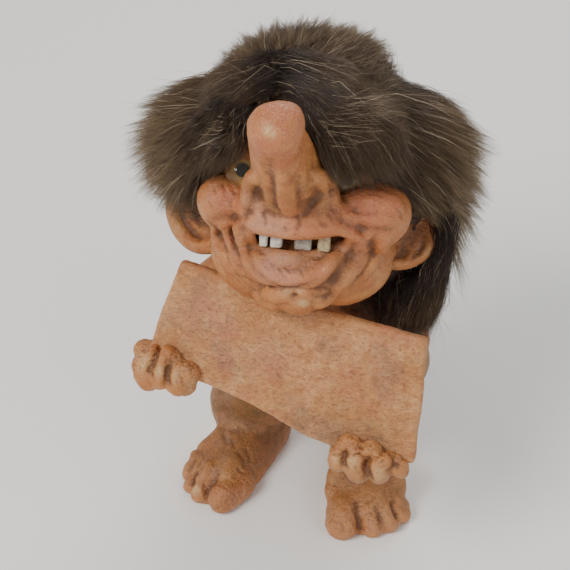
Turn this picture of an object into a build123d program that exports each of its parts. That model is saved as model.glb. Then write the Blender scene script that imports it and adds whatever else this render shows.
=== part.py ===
"""A standing Norwegian troll ornament: hollow latex castings, glass eyes, a fur wig and a blank sign.

Millimetres, +Z up, the troll faces -Y, and its right hand is on the -X side.
The origin is on the ground under the middle of the whole figure.
"""

import os
from math import asin, atan2, cos, degrees, radians, sin

from build123d import *
from build123d.topology import SkipClean

# Whole body
WALL = 3.0  # thickness of a latex casting
GLUE_LINE = 0.1  # gap that the glue fills between two pieces
FUR_CLEARANCE = 0.3  # hair to what it lies beside

# Feet and legs
FOOT_LENGTH = 40.0  # heel to the ball of the foot, before the toes
FOOT_HALF_WIDTH = 12.0
INSTEP_HEIGHT = 17.0
HEEL_RADIUS = 10.5
BIG_TOE_RADIUS = 6.4
SMALL_TOE_RADIUS = 4.6
TOE_LENGTH = 10.0
STANCE_HALF_WIDTH = 21.0  # from the middle plane to each ankle
LEFT_SPLAY = 10.0  # degrees that the toes point outwards
RIGHT_SPLAY = 14.0
LEG_LENGTH = 37.0  # ground to crotch
ANKLE_RADIUS = 12.0
THIGH_RADIUS = 16.5

# Torso
TORSO_HEIGHT = 68.0  # crotch to the top of the chest
BELLY_RADIUS = 25.0
CHEST_RADIUS = 19.0
BUTTOCK_RADIUS = 14.5
NECK_RADIUS = 12.0
NECK_TOP_RADIUS = 10.0
NECK_RISE = 28.0  # top of the chest to the middle of the head

# Head
HEAD_RADIUS = 32.0
HEAD_FORWARD = 10.0
HEAD_TILT = 22.0  # degrees that the face looks up
HEAD_TURN = 6.0  # degrees that the face turns to the troll's left
JAW_HALF_WIDTH = 29.0
JAW_RADIUS = 17.0
CHIN_RADIUS = 8.5
UPPER_LIP_HALF_WIDTH = 21.0
UPPER_LIP_RADIUS = 9.0
LOWER_LIP_HALF_WIDTH = 17.0
LOWER_LIP_RADIUS = 7.0
LEFT_CHEEK_RADIUS = 11.0
RIGHT_CHEEK_RADIUS = 9.5
BROW_HALF_WIDTH = 22.0
BROW_RADIUS = 8.0
NOSE_LENGTH = 41.0
NOSE_RISE = 35.0  # degrees above the face's own forward direction
NOSE_LEAN = 2.0  # degrees towards the troll's right
NOSE_ROOT_RADIUS = 11.5
NOSE_TIP_RADIUS = 7.8
NOSTRIL_RADIUS = 6.0
MOUTH_HALF_WIDTH = 16.5
MOUTH_RADIUS = 5.2
TOOTH_WIDTH = 3.4
TOOTH_HEIGHT = 8.6
TOOTH_THICKNESS = 2.4
EYE_RADIUS = 5.0
EYE_DISC_THICKNESS = 0.6
EYE_STEM_RADIUS = 0.8
EYE_STEM_LENGTH = 6.0
EAR_RADIUS = 14.0
EAR_THICKNESS = 9.0
EAR_ROUND = 3.8  # radius of the rolled rim
EAR_BOWL_DEPTH = 4.5

# Hair
WIG_BACKING = 1.4  # thickness of the fur's skin
HAIR_HALF_WIDTH = 41.0
HAIR_RADIUS = 38.5
FRINGE_HALF_WIDTH = 31.0
FRINGE_RADIUS = 13.0
WING_RADIUS = 24.0
LOCK_TOP_RADIUS = 17.0
LOCK_END_RADIUS = 12.0
NAPE_HALF_WIDTH = 32.0
NAPE_RADIUS = 20.0
FACE_WINDOW_HALF_WIDTH = 38.0
FACE_WINDOW_RADIUS = 27.0

# Arms, hands and sign
SHOULDER_RADIUS = 11.0
ELBOW_RADIUS = 8.5
WRIST_RADIUS = 7.0
PALM_RADIUS = 8.0
FINGER_RADIUS = 3.7
FINGER_LENGTH = 7.0
THUMB_RADIUS = 3.8
THUMB_LENGTH = 10.0
SIGN_WIDTH = 88.0
SIGN_HEIGHT = 41.0
SIGN_THICKNESS = 4.6
SIGN_EDGE_ROUND = 1.2
SIGN_STANDOFF = 20.0  # belly to the middle of the sign
SIGN_LEAN = 25.0  # degrees that the top leans back
SIGN_SLANT = 12.5  # degrees that its left end, seen from the troll, hangs lower

# Tail
TAIL_RADIUS = 3.8
TAIL_BEND_RADIUS = 32.0  # the tail's own curve, seen from the side
TAIL_START_ANGLE = 25.0  # degrees below level where it leaves the back
TAIL_END_ANGLE = 88.0
TAIL_TUFT_LENGTH = 22.0
TAIL_TUFT_RADIUS = 6.5
TAIL_TUFT_ROOT_RADIUS = 5.2

# Foot, as shares of its own radii
HEEL_LIFT_SHARE = 0.5
TOE_SHARES = ((-0.60, 1.0), (0.22, 0.95), (0.66, 0.7), (0.98, 0.25))  # across and forwards, big toe first
TOE_LIFT_SHARE = 0.6
TOE_SPREAD_SHARE = 1.08
TOE_TAPER_SHARE = 0.94
ANKLE_SHARE = 0.97
HIP_SHARE = 1.0
HIP_RISE_SHARE = 0.75

# Torso, as shares of its height and its belly's radius
BUTTOCK_RISE_SHARE = 0.21
BUTTOCK_APART_SHARE = 0.80
NECK_START_SHARE = 0.2
BUTTOCK_BACK_SHARE = 0.46
BELLY_FORWARD_SHARE = 0.10
SHOULDER_RISE_SHARE = 0.72
TAIL_ROOT_SHARE = 0.80

# Sign, as shares of its half width and half height
SIGN_SIDE_SHARE = 0.034
SIGN_RAISE_SHARE = 0.69
SIGN_OUTLINE_SHARES = ((-1.0, 0.80), (0.86, 1.02), (1.09, -0.93), (0.27, -1.18), (-1.02, -1.05))
SIGN_BOW_SHARES = (-0.015, 0.012, 0.03, -0.045, 0.015)
LEFT_GRIP_SHARE = (0.72, -1.0)
RIGHT_GRIP_SHARE = (-0.86, -0.95)

# Arm and hand, as shares of their own radii
SHOULDER_SINK_SHARE = 0.45
ELBOW_OUT_SHARE = 1.3
ELBOW_FORWARD_SHARE = 0.47
ELBOW_DROP_SHARE = 0.2
PALM_BACK_SHARE = 0.75
FINGER_COUNT = 3
FINGER_STEP_SHARE = 1.85
FINGER_ARCH_SHARE = 0.25
FINGER_DROP_SHARE = 0.9
FINGER_TURN_SHARE = 0.35
FINGER_OUT_SHARE = 0.25
KNUCKLE_SHARE = 1.1
FINGER_ROOT_SHARE = 1.05
FOREARM_SHARE = 1.06
THUMB_BACK_SHARE = 0.8
THUMB_RISE_SHARE = 0.25

# Ear, eye and teeth
EAR_OUT_SHARE = 0.55
EYE_PLANE_SHARE = 0.2  # how far behind its middle the glass is cut flat
TOOTH_DROP_SHARE = 0.38
TOOTH_SET_BACK_SHARE = 0.10
TOOTH_ROUND_SHARE = 0.25
TOOTH_SHARES = (-0.69, -0.456, 0.03, 0.41)  # across the mouth, from the troll's right
TOOTH_SIZE_SHARES = (0.70, 1.0, 1.47, 1.06)
TOOTH_NAMES = ("outer_right", "inner_right", "inner_left", "outer_left")

GROUND_BLOCK = 500.0  # a block larger than the whole figure


def ball(place, radius):
    """A ball round one point."""
    return Pos(*place) * Sphere(radius)


def frame_along(start, direction):
    """The plane whose x direction runs along a line."""
    run = Vector(*direction).normalized()
    side = Vector(0, 0, 1) if abs(run.Z) < cos(radians(30)) else Vector(0, 1, 0)
    return Plane(origin=Vector(*start), x_dir=run, z_dir=run.cross(side).normalized())


def bar(middle, half_long, radius, axis=(1, 0, 0)):
    """A round-ended bar; half_long runs from its middle to the end of its rounding."""
    reach = Vector(*axis).normalized() * (half_long - radius)
    return limb(tuple(Vector(*middle) - reach), radius, tuple(Vector(*middle) + reach), radius)


def limb(start, start_radius, end, end_radius):
    """A tapered limb: the skin stretched over two balls."""
    run = Vector(*end) - Vector(*start)
    lean = asin((start_radius - end_radius) / run.length)
    near = (start_radius * sin(lean), start_radius * cos(lean))
    far = (run.length + end_radius * sin(lean), end_radius * cos(lean))
    near_angle = radians(180 + degrees(atan2(near[1], near[0]))) / 2
    near_middle = (start_radius * cos(near_angle), start_radius * sin(near_angle))
    far_angle = atan2(far[1], far[0] - run.length) / 2
    far_middle = (run.length + end_radius * cos(far_angle), end_radius * sin(far_angle))
    tail_end = (-start_radius, 0)
    tip_end = (run.length + end_radius, 0)
    half = make_face(
        [
            ThreePointArc(tail_end, near_middle, near),
            Line(near, far),
            ThreePointArc(far, far_middle, tip_end),
            Line(tip_end, tail_end),
        ]
    )
    return frame_along(start, tuple(run)).location * revolve(half, Axis.X)


def joined(pieces):
    """One shape made of pieces that run into each other."""
    shape = pieces[0]
    for piece in pieces[1:]:
        shape = main_solid(shape.fuse(piece))
    return shape


def main_solid(shape):
    """The largest solid that a cut leaves."""
    return max(shape.solids(), key=lambda solid: solid.volume)


def trimmed(shape, *neighbours):
    """A piece cut back to the skin of the pieces that it is glued to."""
    for neighbour in neighbours:
        shape = main_solid(shape.cut(neighbour))
    return shape


# Heights that the sizes above set
BELLY = (0, -BELLY_RADIUS * BELLY_FORWARD_SHARE, LEG_LENGTH + BELLY_RADIUS)
CHEST = (0, 0, LEG_LENGTH + TORSO_HEIGHT - CHEST_RADIUS)
HEAD_MIDDLE = (0, -HEAD_FORWARD, LEG_LENGTH + TORSO_HEIGHT + NECK_RISE)
HEAD_FRAME = Pos(*HEAD_MIDDLE) * Rot(0, 0, HEAD_TURN) * Rot(-HEAD_TILT, 0, 0)

# The face, as shares of the head's radius in the head's own frame
JAW_SHARE = (0, -0.375, -0.75)
CHIN_SHARE = (0.02, -0.75, -1.06)
UPPER_LIP_SHARE = (0.02, -0.83, -0.36)
LOWER_LIP_SHARE = (0.02, -0.86, -0.78)
LEFT_CHEEK_SHARE = (0.69, -0.70, -0.26)
RIGHT_CHEEK_SHARE = (-0.75, -0.69, -0.27)
BROW_SHARE = (-0.06, -0.81, 0.41)
NOSE_ROOT_SHARE = (-0.08, -0.81, -0.09)
LEFT_NOSTRIL_SHARE = (0.19, -0.97, -0.16)
RIGHT_NOSTRIL_SHARE = (-0.34, -0.97, -0.16)
MOUTH_SHARE = (0.05, -0.99, -0.54)
LEFT_EYE_SHARE = (0.41, -0.84, 0.05)
RIGHT_EYE_SHARE = (-0.56, -0.84, 0.05)
LEFT_EAR_SHARE = (0.94, -0.12, -0.52)
RIGHT_EAR_SHARE = (-1.04, -0.12, -0.53)
HOLLOW_SET_BACK_SHARE = 0.16

# The hair, as shares of the same radius
HAIR_SHARE = (0, 0.05, 0.20)
FRINGE_SHARE = (-0.02, -0.80, 0.56)
LEFT_WING_SHARE = (1.0, 0.12, 0.06)
RIGHT_WING_SHARE = (-1.1, 0.12, 0.05)
LOCK_TOP_SHARE = (1.2, 0.35, -0.35)
LOCK_END_SHARE = (1.1, 0.42, -1.45)
NAPE_SHARE = (0, 0.78, -0.62)
FACE_WINDOW_SHARE = (0, -1.25, -0.55)


def in_head(place_shares):
    """A place in the head's own frame."""
    return tuple(share * HEAD_RADIUS for share in place_shares)


def nose_pieces(grow=0):
    """The long nose that points up and forwards, with its two nostril wings."""
    root = Vector(*in_head(NOSE_ROOT_SHARE))
    rise = radians(NOSE_RISE)
    lean = radians(NOSE_LEAN)
    run = Vector(-sin(lean) * cos(rise), -cos(lean) * cos(rise), sin(rise)) * NOSE_LENGTH
    return [
        limb(tuple(root), NOSE_ROOT_RADIUS + grow, tuple(root + run), NOSE_TIP_RADIUS + grow),
        ball(in_head(LEFT_NOSTRIL_SHARE), NOSTRIL_RADIUS + grow),
        ball(in_head(RIGHT_NOSTRIL_SHARE), NOSTRIL_RADIUS + grow),
    ]


def head_pieces(grow=0):
    """The overlapping forms of the head in its own frame, each grown by a clearance."""
    return [
        ball((0, 0, 0), HEAD_RADIUS + grow),
        bar(in_head(JAW_SHARE), JAW_HALF_WIDTH + grow, JAW_RADIUS + grow),
        ball(in_head(CHIN_SHARE), CHIN_RADIUS + grow),
        bar(in_head(UPPER_LIP_SHARE), UPPER_LIP_HALF_WIDTH + grow, UPPER_LIP_RADIUS + grow),
        bar(in_head(LOWER_LIP_SHARE), LOWER_LIP_HALF_WIDTH + grow, LOWER_LIP_RADIUS + grow),
        ball(in_head(LEFT_CHEEK_SHARE), LEFT_CHEEK_RADIUS + grow),
        ball(in_head(RIGHT_CHEEK_SHARE), RIGHT_CHEEK_RADIUS + grow),
        bar(in_head(BROW_SHARE), BROW_HALF_WIDTH + grow, BROW_RADIUS + grow),
        *nose_pieces(grow),
    ]


def head_hollows():
    """The spaces inside the head casting: the skull's, the jaw's and the mouth."""
    set_back = HEAD_RADIUS * HOLLOW_SET_BACK_SHARE
    return [
        ball((0, set_back, 0), HEAD_RADIUS - WALL - set_back),
        bar(in_head(JAW_SHARE), JAW_HALF_WIDTH - WALL, JAW_RADIUS - WALL),
        bar(in_head(MOUTH_SHARE), MOUTH_HALF_WIDTH, MOUTH_RADIUS),
    ]


def eye(place_shares):
    """A glass dome, the painted disc behind it, its wire stem and their sockets, in the head's own frame."""
    middle = Pos(*in_head(place_shares))
    side = 2 * EYE_RADIUS
    flat = EYE_RADIUS * EYE_PLANE_SHARE
    disc_front = flat + GLUE_LINE
    stem_front = disc_front + EYE_DISC_THICKNESS + GLUE_LINE
    whole = Sphere(EYE_RADIUS)
    dome = whole & Pos(0, flat - side / 2, 0) * Box(side, side, side)
    disc = whole & Pos(0, disc_front + EYE_DISC_THICKNESS / 2, 0) * Box(side, EYE_DISC_THICKNESS, side)
    across = Pos(0, stem_front + EYE_STEM_LENGTH / 2, 0) * Rot(90, 0, 0)
    stem = across * Cylinder(EYE_STEM_RADIUS, EYE_STEM_LENGTH)
    bore = across * Cylinder(EYE_STEM_RADIUS + GLUE_LINE, EYE_STEM_LENGTH + 2 * GLUE_LINE)
    sockets = [middle * Sphere(EYE_RADIUS + GLUE_LINE), middle * bore]
    return [middle * dome, middle * disc, middle * stem], sockets


def eye_balls(grow):
    """Both eyes as whole balls, grown by a clearance."""
    return [ball(in_head(share), EYE_RADIUS + grow) for share in (LEFT_EYE_SHARE, RIGHT_EYE_SHARE)]


def tooth(number):
    """One short tooth that hangs from the upper lip into the mouth."""
    width = TOOTH_WIDTH * TOOTH_SIZE_SHARES[number]
    block = Box(width, TOOTH_THICKNESS, TOOTH_HEIGHT)
    block = fillet(block.edges(), TOOTH_THICKNESS * TOOTH_ROUND_SHARE)
    middle = Vector(*in_head(MOUTH_SHARE))
    across = TOOTH_SHARES[number] * MOUTH_HALF_WIDTH
    back = MOUTH_RADIUS * TOOTH_SET_BACK_SHARE
    rise = MOUTH_RADIUS - TOOTH_HEIGHT * TOOTH_DROP_SHARE
    return Location(middle + Vector(across, back, rise)) * block


def tooth_bed(number):
    """The pocket in the upper lip that one tooth is glued into."""
    width = TOOTH_WIDTH * TOOTH_SIZE_SHARES[number] + 2 * GLUE_LINE
    block = Box(width, TOOTH_THICKNESS + 2 * GLUE_LINE, TOOTH_HEIGHT + 2 * GLUE_LINE)
    middle = Vector(*in_head(MOUTH_SHARE))
    across = TOOTH_SHARES[number] * MOUTH_HALF_WIDTH
    back = MOUTH_RADIUS * TOOTH_SET_BACK_SHARE
    rise = MOUTH_RADIUS - TOOTH_HEIGHT * TOOTH_DROP_SHARE
    return Location(middle + Vector(across, back, rise)) * block


def on_ground(shape):
    """A sole cut flat at the ground."""
    return shape & Pos(0, 0, GROUND_BLOCK / 2) * Box(GROUND_BLOCK, GROUND_BLOCK, GROUND_BLOCK)


def foot_pieces(side, splay, grow=0):
    """A broad bare foot with one big toe inside and three small ones, on the side +1 or -1."""
    ball_y = HEEL_RADIUS - FOOT_LENGTH
    ankle = (0, 0, INSTEP_HEIGHT - ANKLE_RADIUS)
    pieces = [
        limb(ankle, ANKLE_RADIUS + grow, (0, ball_y, 0), FOOT_HALF_WIDTH + grow),
        ball((0, 0, HEEL_RADIUS * HEEL_LIFT_SHARE), HEEL_RADIUS + grow),
    ]
    for number, (across_share, reach_share) in enumerate(TOE_SHARES):
        radius = SMALL_TOE_RADIUS if number else BIG_TOE_RADIUS
        root = (side * across_share * FOOT_HALF_WIDTH, ball_y, radius * TOE_LIFT_SHARE)
        tip = (root[0] * TOE_SPREAD_SHARE, ball_y - TOE_LENGTH * reach_share, root[2])
        pieces.append(limb(root, radius + grow, tip, radius * TOE_TAPER_SHARE + grow))
    place = Pos(side * STANCE_HALF_WIDTH, 0, 0) * Rot(0, 0, side * splay)
    return [place * piece for piece in pieces]


def leg(side):
    """A short thick leg from the ankle up into the torso."""
    ankle = (side * STANCE_HALF_WIDTH, 0, INSTEP_HEIGHT)
    hip = (side * BELLY_RADIUS * HIP_SHARE, 0, LEG_LENGTH + THIGH_RADIUS * HIP_RISE_SHARE)
    return limb(ankle, ANKLE_RADIUS * ANKLE_SHARE, hip, THIGH_RADIUS)


def torso_pieces(grow=0):
    """Belly, chest, buttocks and the neck that runs up into the head, each grown by a clearance."""
    low = LEG_LENGTH + TORSO_HEIGHT * BUTTOCK_RISE_SHARE
    apart = BUTTOCK_RADIUS * BUTTOCK_APART_SHARE
    back = BELLY_RADIUS * BUTTOCK_BACK_SHARE
    neck_top = (0, -HEAD_FORWARD, CHEST[2] + CHEST_RADIUS)
    neck_low = tuple(a + (b - a) * NECK_START_SHARE for a, b in zip(CHEST, neck_top))
    return [
        limb(BELLY, BELLY_RADIUS + grow, CHEST, CHEST_RADIUS + grow),
        ball((-apart, back, low), BUTTOCK_RADIUS + grow),
        ball((apart, back, low), BUTTOCK_RADIUS + grow),
        limb(neck_low, NECK_RADIUS + grow, neck_top, NECK_TOP_RADIUS + grow),
    ]


def torso_hollow():
    """The space inside the torso casting."""
    return limb(BELLY, BELLY_RADIUS - WALL, CHEST, CHEST_RADIUS - WALL)


SIGN_MIDDLE = (
    SIGN_WIDTH * SIGN_SIDE_SHARE,
    -BELLY_RADIUS - SIGN_STANDOFF,
    LEG_LENGTH + TORSO_HEIGHT * SIGN_RAISE_SHARE,
)
SIGN_FRAME = Pos(*SIGN_MIDDLE) * Rot(-SIGN_LEAN, 0, 0) * Rot(0, SIGN_SLANT, 0)


def in_sign(place_shares, out=0):
    """A world place on the sign: shares of its half width and height, and a distance out of its face."""
    local = Vector(place_shares[0] * SIGN_WIDTH / 2, -out, place_shares[1] * SIGN_HEIGHT / 2)
    return tuple((SIGN_FRAME * Location(local)).position)


def sign(grow=0):
    """The blank board, cut to a hand-made outline, with its edges rounded over."""
    half_width = SIGN_WIDTH / 2 + grow
    half_height = SIGN_HEIGHT / 2 + grow
    corners = [(across * half_width, up * half_height) for across, up in SIGN_OUTLINE_SHARES]
    sides = []
    for number, bow in enumerate(SIGN_BOW_SHARES):
        start = Vector(*corners[number])
        end = Vector(*corners[(number + 1) % len(corners)])
        run = end - start
        middle = (start + end) / 2 + Vector(-run.Y, run.X) * bow
        sides.append(ThreePointArc(start, middle, end))
    slab = extrude(make_face(sides), SIGN_THICKNESS / 2 + grow, both=True)
    if not grow:
        slab = fillet(slab.edges(), SIGN_EDGE_ROUND)
    return SIGN_FRAME * Rot(90, 0, 0) * slab


def arm_pieces(side, wrist, grow=0):
    """Shoulder to elbow to wrist, held out in front under the sign."""
    shoulder = (
        side * (BELLY_RADIUS - SHOULDER_RADIUS * SHOULDER_SINK_SHARE),
        0,
        LEG_LENGTH + TORSO_HEIGHT * SHOULDER_RISE_SHARE,
    )
    elbow = (
        side * (BELLY_RADIUS + ELBOW_RADIUS * ELBOW_OUT_SHARE),
        -BELLY_RADIUS * ELBOW_FORWARD_SHARE,
        (shoulder[2] + wrist[2]) / 2 - ELBOW_RADIUS * ELBOW_DROP_SHARE,
    )
    return [
        limb(shoulder, SHOULDER_RADIUS + grow, elbow, ELBOW_RADIUS + grow),
        limb(elbow, ELBOW_RADIUS * FOREARM_SHARE + grow, wrist, WRIST_RADIUS + grow),
    ]


def hand_pieces(corner_share, grow=0):
    """A palm behind a lower corner of the sign, a thumb, and three fingers that come up over its face."""
    half = SIGN_THICKNESS / 2
    behind = -half - PALM_RADIUS * PALM_BACK_SHARE
    palm_place = in_sign(corner_share, behind)

    # Thumb, which lies along the back of the sign
    outward = 1 if corner_share[0] > 0 else -1
    thumb_rise = PALM_RADIUS * THUMB_RISE_SHARE / (SIGN_HEIGHT / 2)
    thumb_root = in_sign((corner_share[0], corner_share[1] + thumb_rise), behind)
    thumb_share = (corner_share[0] + outward * THUMB_LENGTH / (SIGN_WIDTH / 2), corner_share[1])
    thumb_tip = in_sign(thumb_share, -half - THUMB_RADIUS * THUMB_BACK_SHARE)

    # Knuckles under the edge
    root_drop = FINGER_RADIUS * FINGER_DROP_SHARE / (SIGN_HEIGHT / 2)
    knuckles = in_sign((corner_share[0], corner_share[1] - root_drop), -half)
    pieces = [
        limb(palm_place, PALM_RADIUS + grow, knuckles, FINGER_RADIUS * KNUCKLE_SHARE + grow),
        limb(thumb_root, THUMB_RADIUS * KNUCKLE_SHARE + grow, thumb_tip, THUMB_RADIUS + grow),
    ]
    for number in range(FINGER_COUNT):
        across = (number - (FINGER_COUNT - 1) / 2) * FINGER_STEP_SHARE * FINGER_RADIUS
        across_share = corner_share[0] + across / (SIGN_WIDTH / 2)
        arch = abs(across) * FINGER_ARCH_SHARE / (SIGN_HEIGHT / 2)
        root_share = (across_share, corner_share[1] - root_drop - arch)
        turn = FINGER_RADIUS * FINGER_TURN_SHARE / (SIGN_WIDTH / 2)
        tip_share = (across_share + turn, root_share[1] + FINGER_LENGTH / (SIGN_HEIGHT / 2))
        root = in_sign(root_share, -half)
        tip = in_sign(tip_share, half + FINGER_RADIUS * FINGER_OUT_SHARE)
        pieces.append(limb(root, FINGER_RADIUS * FINGER_ROOT_SHARE + grow, tip, FINGER_RADIUS + grow))
    return pieces


def ear_frame(place_shares, side):
    """The ear's own frame: its z axis points out of the bowl."""
    return Plane(origin=in_head(place_shares), z_dir=(side * EAR_OUT_SHARE, -1, 0)).location


def ear_disc(place_shares, side, grow=0):
    """The outer form of an ear, low on the side of the head."""
    disc = Cylinder(EAR_RADIUS + grow, EAR_THICKNESS + 2 * grow)
    return ear_frame(place_shares, side) * fillet(disc.edges(), EAR_ROUND)


def ear(place_shares, side):
    """A cupped ear, open to the front."""
    rim = EAR_RADIUS - EAR_ROUND
    bowl_radius = (rim * rim + EAR_BOWL_DEPTH * EAR_BOWL_DEPTH) / (2 * EAR_BOWL_DEPTH)
    rise = EAR_THICKNESS / 2 - EAR_BOWL_DEPTH + bowl_radius
    bowl = ear_frame(place_shares, side) * Pos(0, 0, rise) * Sphere(bowl_radius)
    return ear_disc(place_shares, side) - bowl


TAIL_ROOT = (0, BELLY_RADIUS * TAIL_ROOT_SHARE, LEG_LENGTH + TORSO_HEIGHT * BUTTOCK_RISE_SHARE)


def tail(grow=0):
    """A bare tail that leaves the back nearly level and curves down towards the ground."""
    start = radians(TAIL_START_ANGLE)
    middle = Vector(*TAIL_ROOT) - Vector(0, sin(start), cos(start)) * TAIL_BEND_RADIUS
    section = Plane(origin=TAIL_ROOT, z_dir=(0, cos(start), -sin(start))) * Circle(TAIL_RADIUS + grow)
    turning = Axis(tuple(middle), (-1, 0, 0))
    return revolve(section, turning, TAIL_END_ANGLE - TAIL_START_ANGLE)


def tail_tip():
    """Where the tail ends and its tuft hangs."""
    end = radians(TAIL_END_ANGLE)
    start = radians(TAIL_START_ANGLE)
    across = TAIL_BEND_RADIUS * (sin(end) - sin(start))
    down = TAIL_BEND_RADIUS * (cos(start) - cos(end))
    return (0, TAIL_ROOT[1] + across, TAIL_ROOT[2] - down)


def tail_tuft():
    """The tuft of hair that hangs from the tail's end."""
    end = Vector(*tail_tip())
    drop = TAIL_TUFT_LENGTH - TAIL_TUFT_ROOT_RADIUS - TAIL_TUFT_RADIUS
    return limb(tuple(end), TAIL_TUFT_ROOT_RADIUS, tuple(end - Vector(0, 0, drop)), TAIL_TUFT_RADIUS)


def in_world(pieces):
    """Pieces of the head, put where the head is."""
    return [HEAD_FRAME * piece for piece in pieces]


def wig(neighbours):
    """The fur's skin, stretched over the skull, and the hair that stands on it."""
    window = bar(in_head(FACE_WINDOW_SHARE), FACE_WINDOW_HALF_WIDTH, FACE_WINDOW_RADIUS)
    skin = ball((0, 0, 0), HEAD_RADIUS + WIG_BACKING)
    above_skin = ball((0, 0, 0), HEAD_RADIUS + WIG_BACKING + GLUE_LINE)
    mass = joined(
        [
            bar(in_head(HAIR_SHARE), HAIR_HALF_WIDTH, HAIR_RADIUS),
            bar(in_head(FRINGE_SHARE), FRINGE_HALF_WIDTH, FRINGE_RADIUS),
            ball(in_head(LEFT_WING_SHARE), WING_RADIUS),
            ball(in_head(RIGHT_WING_SHARE), WING_RADIUS),
            limb(in_head(LOCK_TOP_SHARE), LOCK_TOP_RADIUS, in_head(LOCK_END_SHARE), LOCK_END_RADIUS),
            bar(in_head(NAPE_SHARE), NAPE_HALF_WIDTH, NAPE_RADIUS),
        ]
    )
    under = in_world(head_pieces(GLUE_LINE) + eye_balls(FUR_CLEARANCE))
    backing = trimmed(HEAD_FRAME * skin, HEAD_FRAME * window, *under, *neighbours)
    near_head = in_world(head_pieces(FUR_CLEARANCE)[1:] + eye_balls(FUR_CLEARANCE))
    pile = trimmed(HEAD_FRAME * mass, HEAD_FRAME * window, HEAD_FRAME * above_skin, *near_head, *neighbours)
    return backing, pile


def build():
    """Every piece, each in its own named node."""
    nodes = {}
    torso_skin = torso_pieces(GLUE_LINE)
    head_skin = in_world(head_pieces(GLUE_LINE))
    nodes["torso_casting"] = main_solid(joined(torso_pieces()).cut(torso_hollow()))
    nodes["sign_board"] = trimmed(sign(), *head_skin)

    # Head casting, its eyes and its teeth
    casting = HEAD_FRAME * joined(head_pieces())
    casting = trimmed(casting, *torso_skin, *in_world(head_hollows()))
    for name, share in (("left", LEFT_EYE_SHARE), ("right", RIGHT_EYE_SHARE)):
        eye_pieces, sockets = eye(share)
        casting = trimmed(casting, *in_world(sockets))
        for kind, piece in zip(("dome", "disc", "stem"), in_world(eye_pieces)):
            nodes["eye_" + kind + "_" + name] = piece
    for number, name in enumerate(TOOTH_NAMES):
        casting = trimmed(casting, HEAD_FRAME * tooth_bed(number))
        nodes["tooth_" + name] = HEAD_FRAME * tooth(number)
    nodes["head_casting"] = casting
    ears = []
    for name, share, side in (("left", LEFT_EAR_SHARE, 1), ("right", RIGHT_EAR_SHARE, -1)):
        nodes["ear_" + name] = trimmed(HEAD_FRAME * ear(share, side), *head_skin, *torso_skin)
        ears.append(HEAD_FRAME * ear_disc(share, side, FUR_CLEARANCE))

    # Arms and hands
    arms = []
    for name, side, grip in (("left", 1, LEFT_GRIP_SHARE), ("right", -1, RIGHT_GRIP_SHARE)):
        palm = in_sign(grip, -SIGN_THICKNESS / 2 - PALM_RADIUS * PALM_BACK_SHARE)
        glued = [*torso_skin, *hand_pieces(grip, GLUE_LINE), sign(GLUE_LINE)]
        nodes["hand_" + name] = trimmed(joined(hand_pieces(grip)), sign(GLUE_LINE))
        nodes["arm_" + name] = trimmed(joined(arm_pieces(side, palm)), *glued)
        arms.extend(arm_pieces(side, palm, FUR_CLEARANCE))

    # Legs and feet
    for name, side, splay in (("left", 1, LEFT_SPLAY), ("right", -1, RIGHT_SPLAY)):
        nodes["foot_" + name] = on_ground(joined(foot_pieces(side, splay)))
        nodes["leg_" + name] = trimmed(leg(side), *torso_skin, *arms, *foot_pieces(side, splay, GLUE_LINE))

    # Wig and tail
    clear = [*torso_pieces(FUR_CLEARANCE), *ears, sign(FUR_CLEARANCE), *arms]
    nodes["wig_backing"], nodes["wig_hair"] = wig(clear)
    nodes["tail"] = trimmed(tail(), *torso_skin)
    nodes["tail_tuft"] = trimmed(tail_tuft(), tail(GLUE_LINE))
    return nodes


def centred(nodes):
    """The same pieces with the origin on the ground under the middle of the figure."""
    box = Compound(list(nodes.values())).bounding_box()
    middle = box.center()
    shift = Pos(-middle.X, -middle.Y, 0)
    return {name: shift * shape for name, shape in nodes.items()}


if __name__ == "__main__":
    os.makedirs("parts", exist_ok=True)
    with SkipClean():
        pieces = centred(build())
    for name, shape in pieces.items():
        export_step(shape, os.path.join("parts", name + ".step"))
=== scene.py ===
"""Looks for a hand-painted latex troll with a fur wig, glass eyes and a blank sign.

The CAD solids give every place and size. The skins are copies of the solids, joined, remeshed and
then modelled with rolls of clay, pulls and strokes that are placed by marks on the photograph.
A mark is a place on the photograph, in steps of 1/570 of its width from its upper left corner.
"""

import math

import bpy
import numpy as np
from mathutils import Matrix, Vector
from mathutils.bvhtree import BVHTree


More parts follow.
